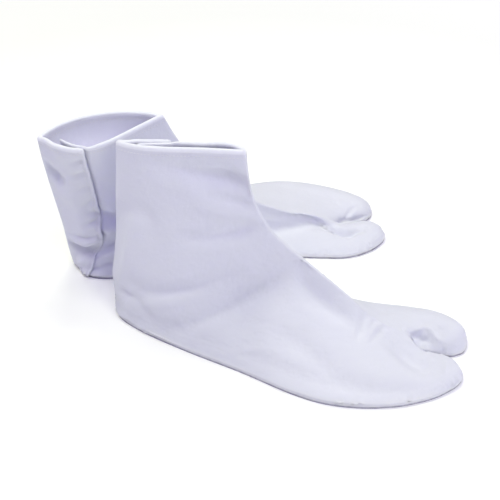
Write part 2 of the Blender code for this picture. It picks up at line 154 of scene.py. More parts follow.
# Each sock's pose. heel and turn place it in the pair, mirror makes it a left or a right, and
# slack stretches it along. underlap_drift: how far the underlap's edge hangs in at the cuff.
# front and back: the two creases as (along, side, height), one row per section.
# outer and inner: how each section leaves the front crease and meets the back crease or the
# sole, as (front_run, front_out, front_lift, back_run, back_out, back_lift).
# flap and underlap: widths measured round the section from the back, one row per section.
# troughs: broad creases of each half, in the form that the folds below have.
RIGHT_SOCK = {
    "name": "right",
    "heel": (-36.14, 23.10),
    "turn": -0.28,
    "mirror": 1.0,
    "slack": 1.014,
    "underlap_drift": 1.0,
    "front": (
        (95.4, 3.0, 135.8), (96.6, 3.0, 122.5), (98.8, 3.0, 108.0), (102.8, 3.0, 96.0),
        (107.8, 3.0, 86.0), (114.2, 3.0, 77.8), (121.0, 3.0, 71.6), (128.0, 3.0, 65.8),
        (136.4, 3.0, 59.2), (145.8, 3.0, 52.0), (156.4, 3.0, 43.8), (167.4, 3.0, 34.8),
        (178.4, 3.0, 25.4), (190.0, 3.0, 19.4), (201.4, 2.6, 15.6), (209.0, 2.0, 11.4),
        (212.8, 1.0, SEAM_HEIGHT),
    ),
    "back": (
        (9.3, 2.0, 129.8), (7.6, 2.0, 109.5), (5.6, 2.0, 87.0), (4.0, 2.0, 64.5),
        (1.6, 1.8, 43.5), (-1.2, 1.0, 22.0),
    ),
    "outer": (
        (-25, 3, 0, 22, 8, 0), (-26, 4.5, 0, 24, 9.5, 0), (-28, 7.5, -6, 25, 14, 4),
        (-31, 11, -10, 21, 21, 7), (-34, 16, -14, 13, 32, 9), (-36, 20, -17, 6, 41, 12),
        (-37, 23, -20, 4, 46, 23), (-35, 25, -21, 4, 24, 26), (-32, 27.5, -20, 5, 9, 22),
        (-26, 29, -16, 7, 5, 18), (-19, 28, -13, 6, 3.5, 15), (-10, 26, -9, 4, 2.5, 12.5),
        (-4, 22.5, -6, 3, 2, 11), (1, 19, -3, 2, 1.5, 10.5), (2, 14, -1, 1, 1, 11),
        (3, 9.5, 3, 1, 1, 12), (4, 5, 12, 2, 1, 12.5), (3, 1.5, 13, 2, 1, 12.5),
        (2, 0, 12.5, 2, 0.5, 12), (2, 0, 9.5, 2, 0.5, 9), (3.4, 3, 0, 0.8, -3.2, 0),
    ),
    "inner": (
        (-25, 8, 0, 22, 2.5, 0), (-26, 8.5, 0, 24, 4.5, 0), (-28, 10, -6, 25, 9.5, 4),
        (-31, 12, -10, 21, 17, 7), (-34, 15, -14, 13, 28, 9), (-36, 17.5, -17, 6, 36, 12),
        (-37, 19, -20, 4, 41, 23), (-35, 19, -21, 4, 19, 26), (-32, 18.5, -20, 5, 8, 23),
        (-26, 17.5, -17, 7, 6.5, 21), (-19, 15, -13, 6, 5.5, 19), (-10, 13, -9, 4, 4.5, 17.5),
        (-4, 12, -6, 3, 4, 17), (1, 11, -3, 2, 3.5, 16.5), (2, 9.5, -1, 1, 3, 16.5),
        (3, 8, 4, 1, 2.5, 17), (4, 5, 13, 2, 2.5, 17.5), (3, 1.5, 15, 2, 2, 17.5),
        (2, 0.5, 15, 2, 1.5, 16.5), (2, 0, 11.5, 2, 1, 13), (3.6, 3.4, 0, 0.9, -3.6, 0),
    ),
    "flap": (35.0, 34.5, 34.5, 34.5, 35.5, 36.5, 31.0, 4.0),
    "underlap": (19.0, 17.0, 15.0, 14.0, 13.0, 13.0, 12.0, 4.0),
    "troughs": {
        "outer": (
            (2.4, 9, ((8.4, 0.82), (7.7, 0.48), (6.8, 0.22))),
            (1.8, 6.5, ((5.4, 0.9), (6.4, 0.78), (7.6, 0.86))),
            (1.5, 6.5, ((0.3, 0.56), (0.6, 0.26), (1.6, 0.04))),
            (1.3, 6.5, ((1.5, 0.34), (2.2, 0.14), (2.9, 0.03))),
            (1.2, 6.5, ((3.2, 0.36), (3.7, 0.04))),
        ),
        "inner": (
            (2.2, 7.5, ((5.4, 0.84), (6.3, 0.56), (6, 0.3))),
            (1.6, 7, ((2.3, 0.3), (3.2, 0.08))),
        ),
    },
}
LEFT_SOCK = {
    "name": "left",
    "heel": (-73.46, 65.14),
    "turn": 0.23,
    "mirror": -1.0,
    "slack": 0.984,
    "underlap_drift": 3.2,
    "front": (
        (73.6, 18.0, 126.6), (78.8, 16.0, 114.4), (84.6, 13.5, 102.6), (90.6, 11.0, 91.6),
        (97.0, 8.6, 81.6), (104.0, 6.6, 73.0), (111.2, 5.2, 65.0), (118.8, 4.2, 57.8),
        (127.2, 3.6, 50.6), (136.4, 3.2, 43.2), (147.0, 3.0, 35.8), (158.2, 3.0, 30.0),
        (170.2, 3.0, 24.4), (182.4, 3.0, 21.2), (193.4, 3.0, 17.0), (204.6, 2.4, 11.4),
        (212.8, 1.0, SEAM_HEIGHT),
    ),
    "back": (
        (-13.9, 18.0, 119.8), (-12.5, 15.0, 102.9), (-9.8, 11.2, 80.5), (-6.8, 7.4, 59.0),
        (-4.0, 4.0, 38.0), (-2.2, 1.6, 18.0),
    ),
    "outer": (
        (-25, 14, 2, 20, 24, 2), (-26, 13, 0, 22, 22, 0), (-28, 13, -6, 24, 22, 4),
        (-31, 14, -10, 21, 24, 7), (-34, 17, -14, 13, 33, 9), (-36, 20, -17, 6, 41, 11),
        (-37, 23, -19, 4, 46, 22), (-35, 25.5, -19, 4, 24, 25), (-32, 28, -16, 5, 9, 22),
        (-26, 31, -11, 7, 6, 22), (-19, 32, -7, 6, 4.5, 22), (-10, 31, -4, 4, 4, 22),
        (-4, 29, -2, 3, 3.5, 21), (1, 24, -2, 2, 3, 20), (2, 18, -2, 1, 2.5, 19),
        (3, 12, 2, 1, 2, 18), (4, 5, 12, 2, 1.5, 17), (3, 1.5, 13, 2, 1, 15.5),
        (2, 0, 12.5, 2, 0.5, 14), (2, 0, 9.5, 2, 0.5, 10), (3.4, 3, 0, 0.8, -3.2, 0),
    ),
    "inner": (
        (-46, 22, -5, 36, 32, -4), (-42, 19, -6, 34, 30, -2), (-38, 16, -8, 29, 28, 2),
        (-35, 14, -11, 23, 28, 5), (-34, 15, -14, 13, 32, 8), (-36, 16, -17, 6, 37, 10),
        (-37, 15.5, -19, 4, 40, 21), (-35, 13.5, -19, 4, 19, 22), (-32, 10.5, -17, 5, 7, 18),
        (-26, 7, -15, 7, 3, 14), (-19, 4, -14, 6, 0.5, 11), (-10, 2.5, -13, 4, -1, 9),
        (-4, 2, -11, 3, -2, 8), (1, 2.5, -9, 2, -1, 8), (2, 3.5, -5, 1, 0, 9),
        (3, 5, 1, 1, 1, 10), (4, 4, 11, 2, 1, 11), (3, 1.5, 13, 2, 1, 12),
        (2, 0.5, 12.5, 2, 0.5, 12), (2, 0, 9.5, 2, 0.5, 9), (3.6, 3.4, 0, 0.9, -3.6, 0),
    ),
    "flap": (35.5, 34.6, 34.6, 34.6, 36.0, 37.4, 31.5, 4.0),
    "underlap": (19.0, 17.0, 15.0, 14.0, 13.0, 13.0, 12.0, 4.0),
    "troughs": {
        "outer": (
            (2.2, 9, ((8.2, 0.8), (7.5, 0.5), (6.6, 0.24))),
            (1.8, 6.5, ((4.9, 0.92), (5.9, 0.8), (6.8, 0.82))),
            (1.4, 6.5, ((2.2, 0.32), (3.1, 0.06))),
        ),
        "inner": (
            (2.8, 7, ((4.6, 0.96), (5.3, 0.87), (5.9, 0.76), (5.6, 0.58))),
            (2.2, 7, ((3.4, 0.72), (4.4, 0.54))),
            (1.5, 6.5, ((6.8, 0.86), (7.8, 0.88))),
            (1.5, 6.5, ((1.5, 0.96), (1.9, 0.84))),
        ),
    },
}
SOCKS = {"right": RIGHT_SOCK, "left": LEFT_SOCK}
PHASES = {
    ("right", "outer"): 0.4, ("right", "inner"): 1.9,
    ("left", "outer"): 2.8, ("left", "inner"): 4.1,
}

# Creases of each piece of cloth: (depth, width, ((row, share of the way round), ...)). A depth
# below zero is a ridge. The shares of a flap run from the back crease to its free edge.
RIGHT_FOLDS = {
    "outer": (
        (8, 15, ((9.7, 0.84), (9.4, 0.72), (9, 0.6), (8.5, 0.44), (7.9, 0.24), (7.2, 0.02))),
        (5, 6, ((8.2, 1.06), (8.4, 0.86), (8.5, 0.75), (8.45, 0.6), (8.2, 0.4), (8.1, 0.2),
            (7.9, 0.02))),
        (3, 9, ((9.2, 0.56), (10.4, 0.6), (11.4, 0.66), (12.4, 0.74), (13.4, 0.8))),
        (5.2, 7, ((7.8, 0), (8.8, 0.1), (9.8, 0.15), (11, 0.17), (12.4, 0.17))),
        (2.6, 8, ((6.8, 0.92), (7.8, 0.9), (8.8, 0.88), (9.8, 0.86), (11, 0.84), (12.6, 0.84))),
        (2.4, 7, ((10.6, 0.82), (12.2, 0.82), (13.8, 0.84), (15.4, 0.86), (17.2, 0.86))),
        (-1.2, 12, ((2.6, 0.66), (3.6, 0.4), (4.4, 0.1))),
        (7, 7.5, ((0.4, 0.76), (0.8, 0.5), (1.15, 0.31), (1.35, 0.18), (1.7, 0.08), (2.3, 0))),
        (1.4, 3, ((0.7, 0.42), (0.95, 0.26), (1.15, 0.14), (1.5, 0.04))),
        (2.2, 3.4, ((1.8, 0.34), (2.5, 0.12), (3.1, 0))),
        (-1.6, 5, ((2.3, 0.4), (2.9, 0.18), (3.3, 0.04))),
        (4.2, 4.8, ((3.4, 0.54), (3.9, 0.3), (4.05, 0.15), (4.2, 0))),
        (-2.8, 6, ((2.2, 0.82), (3.2, 0.82), (4.6, 0.83), (5.6, 0.84))),
        (2.2, 6, ((2.9, 1), (2.45, 0.9), (2.4, 0.76), (2.9, 0.68), (3.8, 0.7))),
        (4.2, 7, ((3.9, 0.84), (5.3, 0.76), (6.2, 0.65), (6.8, 0.54), (6.8, 0.4), (6.5, 0.2))),
        (2.6, 3.6, ((5.2, 1), (5.8, 0.82), (6.7, 0.785), (8.2, 0.9))),
        (-2.6, 4.4, ((6.2, 0.84), (6.9, 0.74), (7.3, 0.64), (7.4, 0.52), (7.2, 0.38))),
        (1.7, 2.3, ((11.9, 0), (12.05, 0.14), (12.1, 0.36))),
        (1, 1.6, ((12.5, 0), (12.45, 0.08), (12.4, 0.2))),
        (1.6, 2, ((13.1, 0), (12.9, 0.12), (12.6, 0.32))),
        (-1.4, 2.2, ((14.4, 0.03), (15.2, 0.11), (16.2, 0.16))),
        (6.6, 8.4, ((12.8, 0.1), (13.8, 0.2), (14.5, 0.31), (15.2, 0.44), (16, 0.56),
            (17.2, 0.64))),
    ),
    "inner": (
        (-3.2, 8, ((0, 0), (0, 0.14), (0, 0.34))),
        (3.8, 3.4, ((14.2, -0.02), (14.9, 0.05), (15.4, 0.12), (15.9, 0.16), (16.5, 0.16),
            (17.3, 0.14))),
        (-1.4, 1.9, ((14.7, 0.12), (15.2, 0.25), (15.9, 0.365), (16.6, 0.31), (17.2, 0.235),
            (18, 0.23))),
        (-2.4, 9, ((14.5, 0.8), (16.5, 0.68), (18, 0.58), (19.2, 0.5))),
        (1.4, 4.2, ((2.2, 0.3), (2.8, 0.16), (3.4, 0.02))),
        (1.2, 4, ((0.9, 0.36), (1.3, 0.18), (2.1, 0.02))),
        (1.8, 5, ((5.2, 0.9), (5.9, 0.7), (6.3, 0.5), (6.2, 0.3))),
        (1.2, 4, ((6.8, 0.84), (7.7, 0.7), (8.8, 0.62))),
        (-0.8, 5, ((6.4, 0.76), (7.2, 0.58), (8, 0.46))),
        (0.7, 3, ((12.2, 0.02), (12.8, 0.3), (13.6, 0.5))),
        (0.6, 3, ((16, 0.1), (16.8, 0.34), (17.4, 0.46))),
    ),
    "flap": (
        (0.8, 2, ((0.9, 1), (1, 0.78), (1.3, 0.56))),
        (0.9, 1.9, ((1.9, 1), (2, 0.8), (2.3, 0.6))),
        (0.8, 1.9, ((2.8, 1), (2.9, 0.76), (3, 0.52))),
        (1, 1.8, ((3.6, 1), (3.7, 0.8), (3.9, 0.58))),
        (0.9, 1.8, ((4.2, 1), (4.3, 0.78), (4.4, 0.56))),
        (1, 1.9, ((4.8, 1), (4.8, 0.76), (4.7, 0.5))),
        (2.2, 3, ((4.9, 0.02), (5.3, 0.4), (5.5, 0.7), (5.3, 1))),
    ),
}
LEFT_FOLDS = {
    "outer": (
        (1.5, 4, ((1.9, 0.38), (2.5, 0.18), (3.2, 0))),
        (1.2, 3.6, ((0.8, 0.34), (1.1, 0.16), (1.7, 0))),
        (1.6, 4, ((4.8, 1), (5.8, 0.82), (6.8, 0.8), (7.8, 0.9))),
        (-0.9, 5, ((5.8, 0.68), (7, 0.62), (7.9, 0.72))),
        (2, 9, ((8.6, 0.9), (8, 0.6), (7.2, 0.3))),
        (3, 2.4, ((15.9, 0.06), (16.9, 0.06), (17.8, 0.07), (18.8, 0.12))),
        (1.4, 2, ((16.3, 0.04), (16.6, 0.16), (16.85, 0.28), (17.3, 0.4))),
        (-0.5, 1.8, ((16.8, 0.04), (17.15, 0.2), (17.5, 0.36))),
        (-2.4, 10, ((10.5, 0.8), (13, 0.7), (15, 0.62), (17.5, 0.55))),
        (0.5, 2.4, ((12.3, 0), (12.8, 0.14), (13.2, 0.28))),
    ),
    "inner": (
        (3, 3.8, ((3, 0.8), (3.7, 0.68), (4.4, 0.57), (4.9, 0.4))),
        (-2.6, 3.2, ((3.9, 0.8), (4.55, 0.68), (5.1, 0.5))),
        (3.2, 5, ((5.3, 0.8), (5.8, 0.66), (5.9, 0.48), (5.6, 0.32))),
        (-3.2, 3.2, ((6.35, 0.9), (6.65, 0.72), (6.85, 0.5), (6.8, 0.32))),
        (1.8, 2.8, ((6.6, 0.98), (7.3, 0.88), (7.8, 0.86))),
        (1.2, 3.6, ((1.4, 0.34), (2, 0.16), (2.8, 0))),
        (1, 3.6, ((3.4, 0.3), (3.9, 0.12), (4.4, 0))),
        (4.6, 5, ((8.6, 0.66), (10.2, 0.52), (11.2, 0.43), (12, 0.31), (12.9, 0.22), (13.7, 0.21),
            (14.6, 0.3))),
        (6.5, 3.8, ((13.2, 0.14), (14, 0.2), (14.4, 0.28), (14.8, 0.4), (15.3, 0.5), (16.2, 0.54),
            (17.2, 0.54))),
        (-1, 2, ((11.4, 0.02), (12.3, 0.05), (13, 0.04), (13.6, 0.05), (14.6, 0.05))),
        (2.6, 3, ((10, 0.12), (11.2, 0.14), (12.4, 0.11), (13.4, 0.115), (14.2, 0.16),
            (15.4, 0.14))),
        (0.9, 1.6, ((12.6, -0.02), (12.75, 0.06), (12.85, 0.14))),
    ),
    "flap": (
        (3.8, 4.6, ((1, 0), (1.5, 0.16), (1.9, 0.42))),
        (-1.6, 5, ((1.9, 0.1), (2.4, 0.3), (2.8, 0.6))),
        (1.6, 6, ((0.1, 0.1), (0.8, 0.4), (1.3, 0.7))),
        (2, 2.2, ((0.55, 1), (0.7, 0.84), (0.9, 0.62))),
        (2.4, 2.4, ((1.25, 1), (1.4, 0.84), (1.6, 0.5))),
        (1.5, 2, ((2, 1), (2.1, 0.82), (2.2, 0.6))),
        (2.4, 2.2, ((2.75, 1), (2.85, 0.86), (3.2, 0.66))),
        (1.5, 1.9, ((3.4, 1), (3.45, 0.82), (3.5, 0.56))),
        (2.4, 1.9, ((3.85, 1), (3.9, 0.84), (4, 0.56))),
        (1.6, 1.6, ((4.25, 1), (4.3, 0.86), (4.35, 0.66))),
        (2.2, 2.2, ((4.65, 1), (4.65, 0.7), (4.5, 0.4), (4.3, 0.1))),
        (-2.4, 3, ((4.2, -0.02), (4.65, 0.34), (4.9, 0.64), (4.85, 1))),
        (-1.8, 3.4, ((5.3, 0), (5.9, 0.34), (6.1, 0.64), (6.1, 0.96))),
        (5.4, 3.2, ((4.5, -0.04), (5.05, 0.3), (5.35, 0.6), (5.45, 0.86), (5.25, 1.04))),
    ),
}
FOLDS = {"right": RIGHT_FOLDS, "left": LEFT_FOLDS}

# small gathers along the seams: (height, reach from the seam, length of a wave)
SOLE_GATHERS = (0.42, 9.0, 7.3)
FRONT_GATHERS = (0.22, 6.0, 6.1)
FRONT_GATHER_ROW = 4
GATHER_RISE = 1.8
# their second wave as (height, length, shift), and their slow swell with its base first
SECOND_WAVE = (0.7, 0.61, 2.3)
SWELL = (0.45, 0.55, 5.3, 1.7)

# how far the inner upper dips beside the flap's free edge, how wide, and where that ends
FLAP_DIP = 1.6
FLAP_DIP_WIDTH = 2.6
FLAP_DIP_END = (5.4, 6.2)
UNDERLAP_ROOM = 1.3

# thickness at the folded edges: where it changes, and how much fuller it is
HEM_EDGE_STEP = 0.7
RIM_FULLNESS = 0.75
RIM_ROLL = (0.8, 3.4)
FLAP_EDGE_FOLD = (2.6, 3.6)
FLAP_EDGE_FULLNESS = 0.5
COVERED_RIM = (-14.0, -2.0)
CAP_STEPS = 4
MERGE_DISTANCE = 0.02

SOLE_INSET = 0.5
SOLE_ROUNDING = 0.5
SOLE_RIDGE_ANGLE = 1.0
LEVEL_TOLERANCE = 0.1

# sewing: grooves, stitches and the lines of the grid that the edge's sewing passes
GROOVE_WIDTH = 0.7
HEM_GROOVE = 0.22
EDGE_GROOVE = 0.4
HEM_SEWING_INSET = 1.0
EDGE_SEWING_LINES = (6, HEEL_LINE + 1)
STITCH_SHARE = 0.33
STITCH_RADIUS = 0.22
STITCH_LIFT = 0.12
INSIDE_STITCH_LIFT = 0.1

# each cotton's threads a metre, and its sizes in metres. The soil and shadow height is how high
# the light soil on the uppers and the painted contact shadow on the sole's edge reach from the
# floor; the rim highlight width is how far the painted highlight reaches down from the cuff
UPPER_COTTON = {
    "threads": 2500.0, "weave_depth": 0.00007, "dip_depth": 0.0016,
    "soil_and_shadow_height": 0.005, "rim_highlight_width": 0.0016,
}
SOLE_COTTON = {
    "threads": 1300.0, "weave_depth": 0.00014, "dip_depth": 0.0008,
    "soil_and_shadow_height": 0.0022, "rim_highlight_width": 0.0,
}
# the finishes' noises as (scale, detail), and how much each effect counts
NOISES = {
    "slub": (900.0, 3.0), "patches": (60.0, 4.0), "grains": (700.0, 2.0),
    "fuzz": (260.0, 3.0), "broad dips": (70.0, 3.0), "small dips": (210.0, 2.0),
    "soil": (160.0, 4.0), "twist": (2600.0, 2.0),
}
NOISE_ROUGHNESS = 0.55
PATCHES_SHARE = 0.6
GRAINS_SHARE = 0.4
SMALL_DIPS_SHARE = 0.35
# base of the uneven soil on the uppers and of the uneven painted contact shadow on the sole
SOIL_AND_SHADOW_BASE = 0.35
COTTON_ROUGHNESS = 0.78
FUZZ_ROUGHNESS = 0.16
DIPS_STRENGTH = 0.55
WEAVE_STRENGTH = 0.5
TWIST_DEPTH = 0.00006
THREAD_SHADE = 0.9


def ease(value, low, high):
    """Smooth step from 0 at low to 1 at high."""
    share = np.clip((value - low) / (high - low), 0.0, 1.0)
    return share * share * (3.0 - 2.0 * share)


def resample(values, positions):
    """Smooth values between the rows of an array, at fractional rows."""
    values = np.asarray(values, dtype=float)
    positions = np.clip(np.asarray(positions, dtype=float), 0.0, len(values) - 1.0)
    index = np.minimum(positions.astype(int), len(values) - 2)
    t = (positions - index).reshape((-1,) + (1,) * (values.ndim - 1))
    first = 2.0 * values[:1] - values[1:2]
    last = 2.0 * values[-1:] - values[-2:-1]
    padded = np.concatenate([first, values, last])
    before, here, after, beyond = (padded[index + step] for step in range(4))
    return 0.5 * (
        2.0 * here
        + (after - before) * t
        + (2.0 * before - 5.0 * here + 4.0 * after - beyond) * t ** 2
        + (3.0 * here - before - 3.0 * after + beyond) * t ** 3
    )


def spline(rows, position):
    """Smooth value of a table at one fractional row."""
    return resample(rows, [position])[0]


def front_point(sock, half, row):
    """Point of the front crease, then of the slit's edge beyond its root."""
    if row > CROTCH_ROW:
        along, side = spline(SLIT[half], row - CROTCH_ROW)
        return np.array([along, side, SEAM_HEIGHT])
    point = spline(sock["front"], row)
    point[1] += 0.5 * SEAM_GAP * SIDE[half]
    return point


def back_point(sock, half, row):
    """Point of the back crease, then of the sole's rim from the heel on."""
    if row >= HEEL_ROW:
        along, side = spline(RIM[half], row - HEEL_ROW)
        return np.array([along, side, SEAM_HEIGHT])
    heel = (RIM[half][0][0], RIM[half][0][1], SEAM_HEIGHT)
    return spline(sock["back"] + (heel,), row)


def crease_turn(corner, handle, outward, inward, radius):
    """Small round turn at a crease, from straight out to the way the cloth leaves it."""
    angle = math.atan2(float(handle @ inward), float(handle @ outward))
    steps = [angle * step / CREASE_STEPS for step in range(CREASE_STEPS + 1)]
    return np.array([
        corner + radius * (math.sin(a) * outward + (1.0 - math.cos(a)) * inward) for a in steps
    ])


def section_curve(sock, half, row):
    """One section of an upper, from the front crease round to the back."""
    start = front_point(sock, half, row)
    end = back_point(sock, half, row)
    handles = spline(sock[half], row)
    mirror = np.array([1.0, SIDE[half], 1.0])
    start_handle = handles[:3] * mirror
    end_handle = handles[3:] * mirror
    outward = np.array([0.0, SIDE[half], 0.0])
    chord = (end - start) * np.array([1.0, 0.0, 1.0])
    chord = chord / max(float(np.linalg.norm(chord)), 1e-6)
    front_radius = CREASE_RADIUS * (1.0 - ease(row, CROTCH_ROW - 2.0, CROTCH_ROW))
    back_radius = CREASE_RADIUS * (1.0 - ease(row, HEEL_ROW - 1.0, HEEL_ROW))
    head = crease_turn(start, start_handle, outward, chord, front_radius)
    tail = crease_turn(end, end_handle, outward, -chord, back_radius)[::-1]
    near, far = head[-1], tail[0]
    t = np.linspace(0.0, 1.0, CURVE_POINTS)[:, None]
    middle = (
        (1.0 - t) ** 3 * near
        + 3.0 * (1.0 - t) ** 2 * t * (near + start_handle)
        + 3.0 * (1.0 - t) * t ** 2 * (far + end_handle)
        + t ** 3 * far
    )
    return np.vstack([head[:-1], middle, tail[1:]])


def path_lengths(curve):
    """Distance of each point of a curve from its first point."""
    steps = np.linalg.norm(np.diff(curve, axis=0), axis=1)
    return np.concatenate([[0.0], np.cumsum(steps)])


def values_along(curve, values, distances):
    """Values that belong to a curve's points, read at distances along it."""
    lengths = path_lengths(curve)
    return np.stack([np.interp(distances, lengths, values[:, axis]) for axis in range(3)], axis=1)


def points_along(curve, distances):
    """Points of a curve at distances along it."""
    return values_along(curve, curve, distances)


def column_places(length):
    """Where the coarse columns stand on a section of this length."""
    body = np.linspace(EDGE_STEPS[-1], length - EDGE_STEPS[-1], BODY_COLUMNS + 1)
    tail = [length - step for step in EDGE_STEPS[-2::-1]]
    return np.concatenate([EDGE_STEPS[:-1], body, tail])


def fine_columns():
    """The fine grid's columns, as fractional coarse columns."""
    edge = len(EDGE_STEPS) - 1
    inner = COARSE_COLUMNS - edge
    head = np.linspace(0, edge, edge * EDGE_DIVISIONS, endpoint=False)
    body = np.linspace(edge, inner, BODY_COLUMNS * BODY_DIVISIONS, endpoint=False)
    tail = np.linspace(inner, COARSE_COLUMNS, edge * EDGE_DIVISIONS + 1)
    return np.concatenate([head, body, tail])


def sections(sock, half, per_row, columns):
    """A half's sections as a grid, with columns given as fractional coarse columns."""
    rows = []
    for step in range(TOE_ROW * per_row + 1):
        curve = section_curve(sock, half, step / per_row)
        places = column_places(path_lengths(curve)[-1])
        rows.append(points_along(curve, np.interp(columns, np.arange(len(places)), places)))
    return np.array(rows)


def relax(grid, passes, held):
    """Ease a grid of points, keeping its border and the columns next to the creases."""
    grid = grid.copy()
    for _ in range(passes):
        mean = 0.25 * (grid[:-2, 1:-1] + grid[2:, 1:-1] + grid[1:-1, :-2] + grid[1:-1, 2:])
        change = 0.5 * (mean - grid[1:-1, 1:-1])
        grid[1:-1, held:-held] += change[:, held - 1:change.shape[1] + 1 - held]
    return grid


def outward_normals(grid, half):
    """Unit normals of a grid on the outside of its half."""
    normals = np.cross(np.gradient(grid, axis=0), np.gradient(grid, axis=1))
    sizes = np.linalg.norm(normals, axis=2, keepdims=True)
    normals = normals / np.maximum(sizes, 1e-9)
    middle = normals[len(grid) // 4, grid.shape[1] // 2]
    return normals * (1.0 if middle[1] * SIDE[half] > 0.0 else -1.0)


def column_lengths(grid):
    """Distance round each row from its first column."""
    steps = np.linalg.norm(np.diff(grid, axis=1), axis=2)
    return np.concatenate([np.zeros((len(grid), 1)), np.cumsum(steps, axis=1)], axis=1)


def row_lengths(grid):
    """Distance down each column from the first row."""
    return column_lengths(grid.transpose(1, 0, 2)).T


def row_numbers(grid):
    """The section row of each line of a fine grid."""
    return np.arange(len(grid)) / FINE_PER_ROW


def grid_point(grid, row, share):
    """Point of a grid at a section row and a share of the way round."""
    place = min(row * FINE_PER_ROW, len(grid) - 1.001)
    index = int(place)
    mix = place - index
    line = grid[index] * (1.0 - mix) + grid[index + 1] * mix
    return points_along(line, [share * path_lengths(line)[-1]])[0]


def nearest_on(points, line):
    """Distance from each point to the nearest sample of a line, and that sample."""
    gaps = np.linalg.norm(points[:, None, :] - line[None], axis=2)
    return gaps.min(axis=1), gaps.argmin(axis=1)


def press(grid, half, folds, free):
    """Press creases into a grid of points, where they are free to move."""
    for depth, width, places in folds:
        route = resample(places, np.linspace(0.0, len(places) - 1.0, FOLD_SAMPLES))
        line = np.array([grid_point(grid, row, share) for row, share in route])
        reach = FOLD_REACH * width
        low, high = line.min(axis=0) - reach, line.max(axis=0) + reach
        near = np.all((grid > low) & (grid < high), axis=2)
        gaps, samples = nearest_on(grid[near], line)
        fade = np.sin(np.pi * (samples + 0.5) / FOLD_SAMPLES)
        amount = depth * fade * free[near] * np.exp(-((gaps / width) ** 2))
        moved = grid.copy()
        moved[near] -= outward_normals(grid, half)[near] * amount[:, None]
        grid = moved
    return grid


def gather(grid, half, line, gathers, phase):
    """Small uneven waves that fade away from a seam."""
    height, reach, wave = gathers
    flat = grid.reshape(-1, 3)
    gaps, samples = nearest_on(flat, line)
    turns = 2.0 * np.pi * path_lengths(line)[samples]
    share, length, shift = SECOND_WAVE
    waves = np.sin(turns / wave + phase)
    waves += share * np.sin(turns / (length * wave) + shift * phase)
    base, share, length, shift = SWELL
    strength = base + share * np.sin(turns / (length * wave) + shift * phase)
    shape = ease(gaps, 0.0, GATHER_RISE) * (1.0 - ease(gaps, GATHER_RISE, reach))
    amount = height * waves * strength * shape
    normals = outward_normals(grid, half).reshape(-1, 3)
    return (flat + normals * amount[:, None]).reshape(grid.shape)


@functools.lru_cache(maxsize=None)


def fine_form(name, half):
    """The full form of one half of a sock, eased, creased and gathered."""
    sock = SOCKS[name]
    coarse = sections(sock, half, COARSE_PER_ROW, np.arange(COARSE_COLUMNS + 1.0))
    shift = relax(coarse, COARSE_PASSES, COARSE_HELD) - coarse
    columns = fine_columns()
    fine = sections(sock, half, FINE_PER_ROW, columns)
    shift = resample(shift, np.arange(len(fine)) * COARSE_PER_ROW / FINE_PER_ROW)
    shift = resample(shift.transpose(1, 0, 2), columns).transpose(1, 0, 2)
    grid = relax(fine + shift, FINE_PASSES, FINE_HELD)
    lengths = column_lengths(grid)
    edge = np.minimum(lengths, lengths[:, -1:] - lengths)
    grid = press(grid, half, sock["troughs"][half], ease(edge, 0.0, TROUGH_MARGIN))
    grid = press(grid, half, FOLDS[name][half], ease(edge, 0.0, EDGE_CLEARANCE))
    rim = np.vstack([grid[HEEL_LINE:, -1], grid[-1, -2:0:-1], grid[:CROTCH_LINE:-1, 0]])
    grid = gather(grid, half, rim[::2], SOLE_GATHERS, PHASES[name, half])
    front = grid[FRONT_GATHER_ROW * FINE_PER_ROW:CROTCH_LINE, 0]
    return gather(grid, half, front, FRONT_GATHERS, PHASES[name, half])


def lap_widths(sock, row):
    """Distances from the back of the flap's free edge and of the underlap's edge."""
    flap = float(spline(sock["flap"], row))
    underlap = float(spline(sock["underlap"], row))
    return flap, max(flap - underlap, 0.0)


def inner_panel(sock):
    """The inner upper: its form as far as the underlap's edge, then down to the sole."""
    form = fine_form(sock["name"], "inner")
    body = form.shape[1] - LAP_DIVISIONS
    rows = []
    for index, line in enumerate(form):
        lengths = path_lengths(line)
        flap, edge = lap_widths(sock, index / FINE_PER_ROW)
        places = lengths[:body] / lengths[body] * (lengths[-1] - flap)
        lap = np.linspace(lengths[-1] - flap, lengths[-1] - edge, LAP_DIVISIONS + 1)
        rows.append(points_along(line, np.concatenate([places, lap])))
    panel = np.array(rows)
    normals = outward_normals(panel, "inner")
    share = np.linspace(0.0, 1.0, LAP_DIVISIONS + 1) ** DRIFT_POWER
    depth = sock["underlap_drift"] * (1.0 - ease(row_numbers(panel), 0.0, UNDERLAP_DRIFT_ROWS))
    panel[:, body:] -= normals[:, body:] * (depth[:, None] * share)[:, :, None]
    lengths = column_lengths(panel)
    beside = lengths - lengths[:, body:body + 1]
    dip = FLAP_DIP * np.exp(-((np.minimum(beside, 0.0) / FLAP_DIP_WIDTH) ** 2))
    dip *= (1.0 - ease(row_numbers(panel), *FLAP_DIP_END))[:, None]
    return below_flap(sock, panel - normals * dip[:, :, None], body)


def below_flap(sock, panel, body):
    """Keep the underlap under the flap that covers it, also where the flap is tucked."""
    flap = flap_panel(sock)
    cover = flap.reshape(-1, 3)
    normals = outward_normals(flap, "inner").reshape(-1, 3)
    lap = panel[:len(flap), body:]
    under = lap.reshape(-1, 3)
    samples = nearest_on(under, cover)[1]
    height = np.sum((under - cover[samples]) * normals[samples], axis=1)
    sink = np.maximum(height + UNDERLAP_ROOM, 0.0)
    panel[:len(flap), body:] = (under - normals[samples] * sink[:, None]).reshape(lap.shape)
    return panel


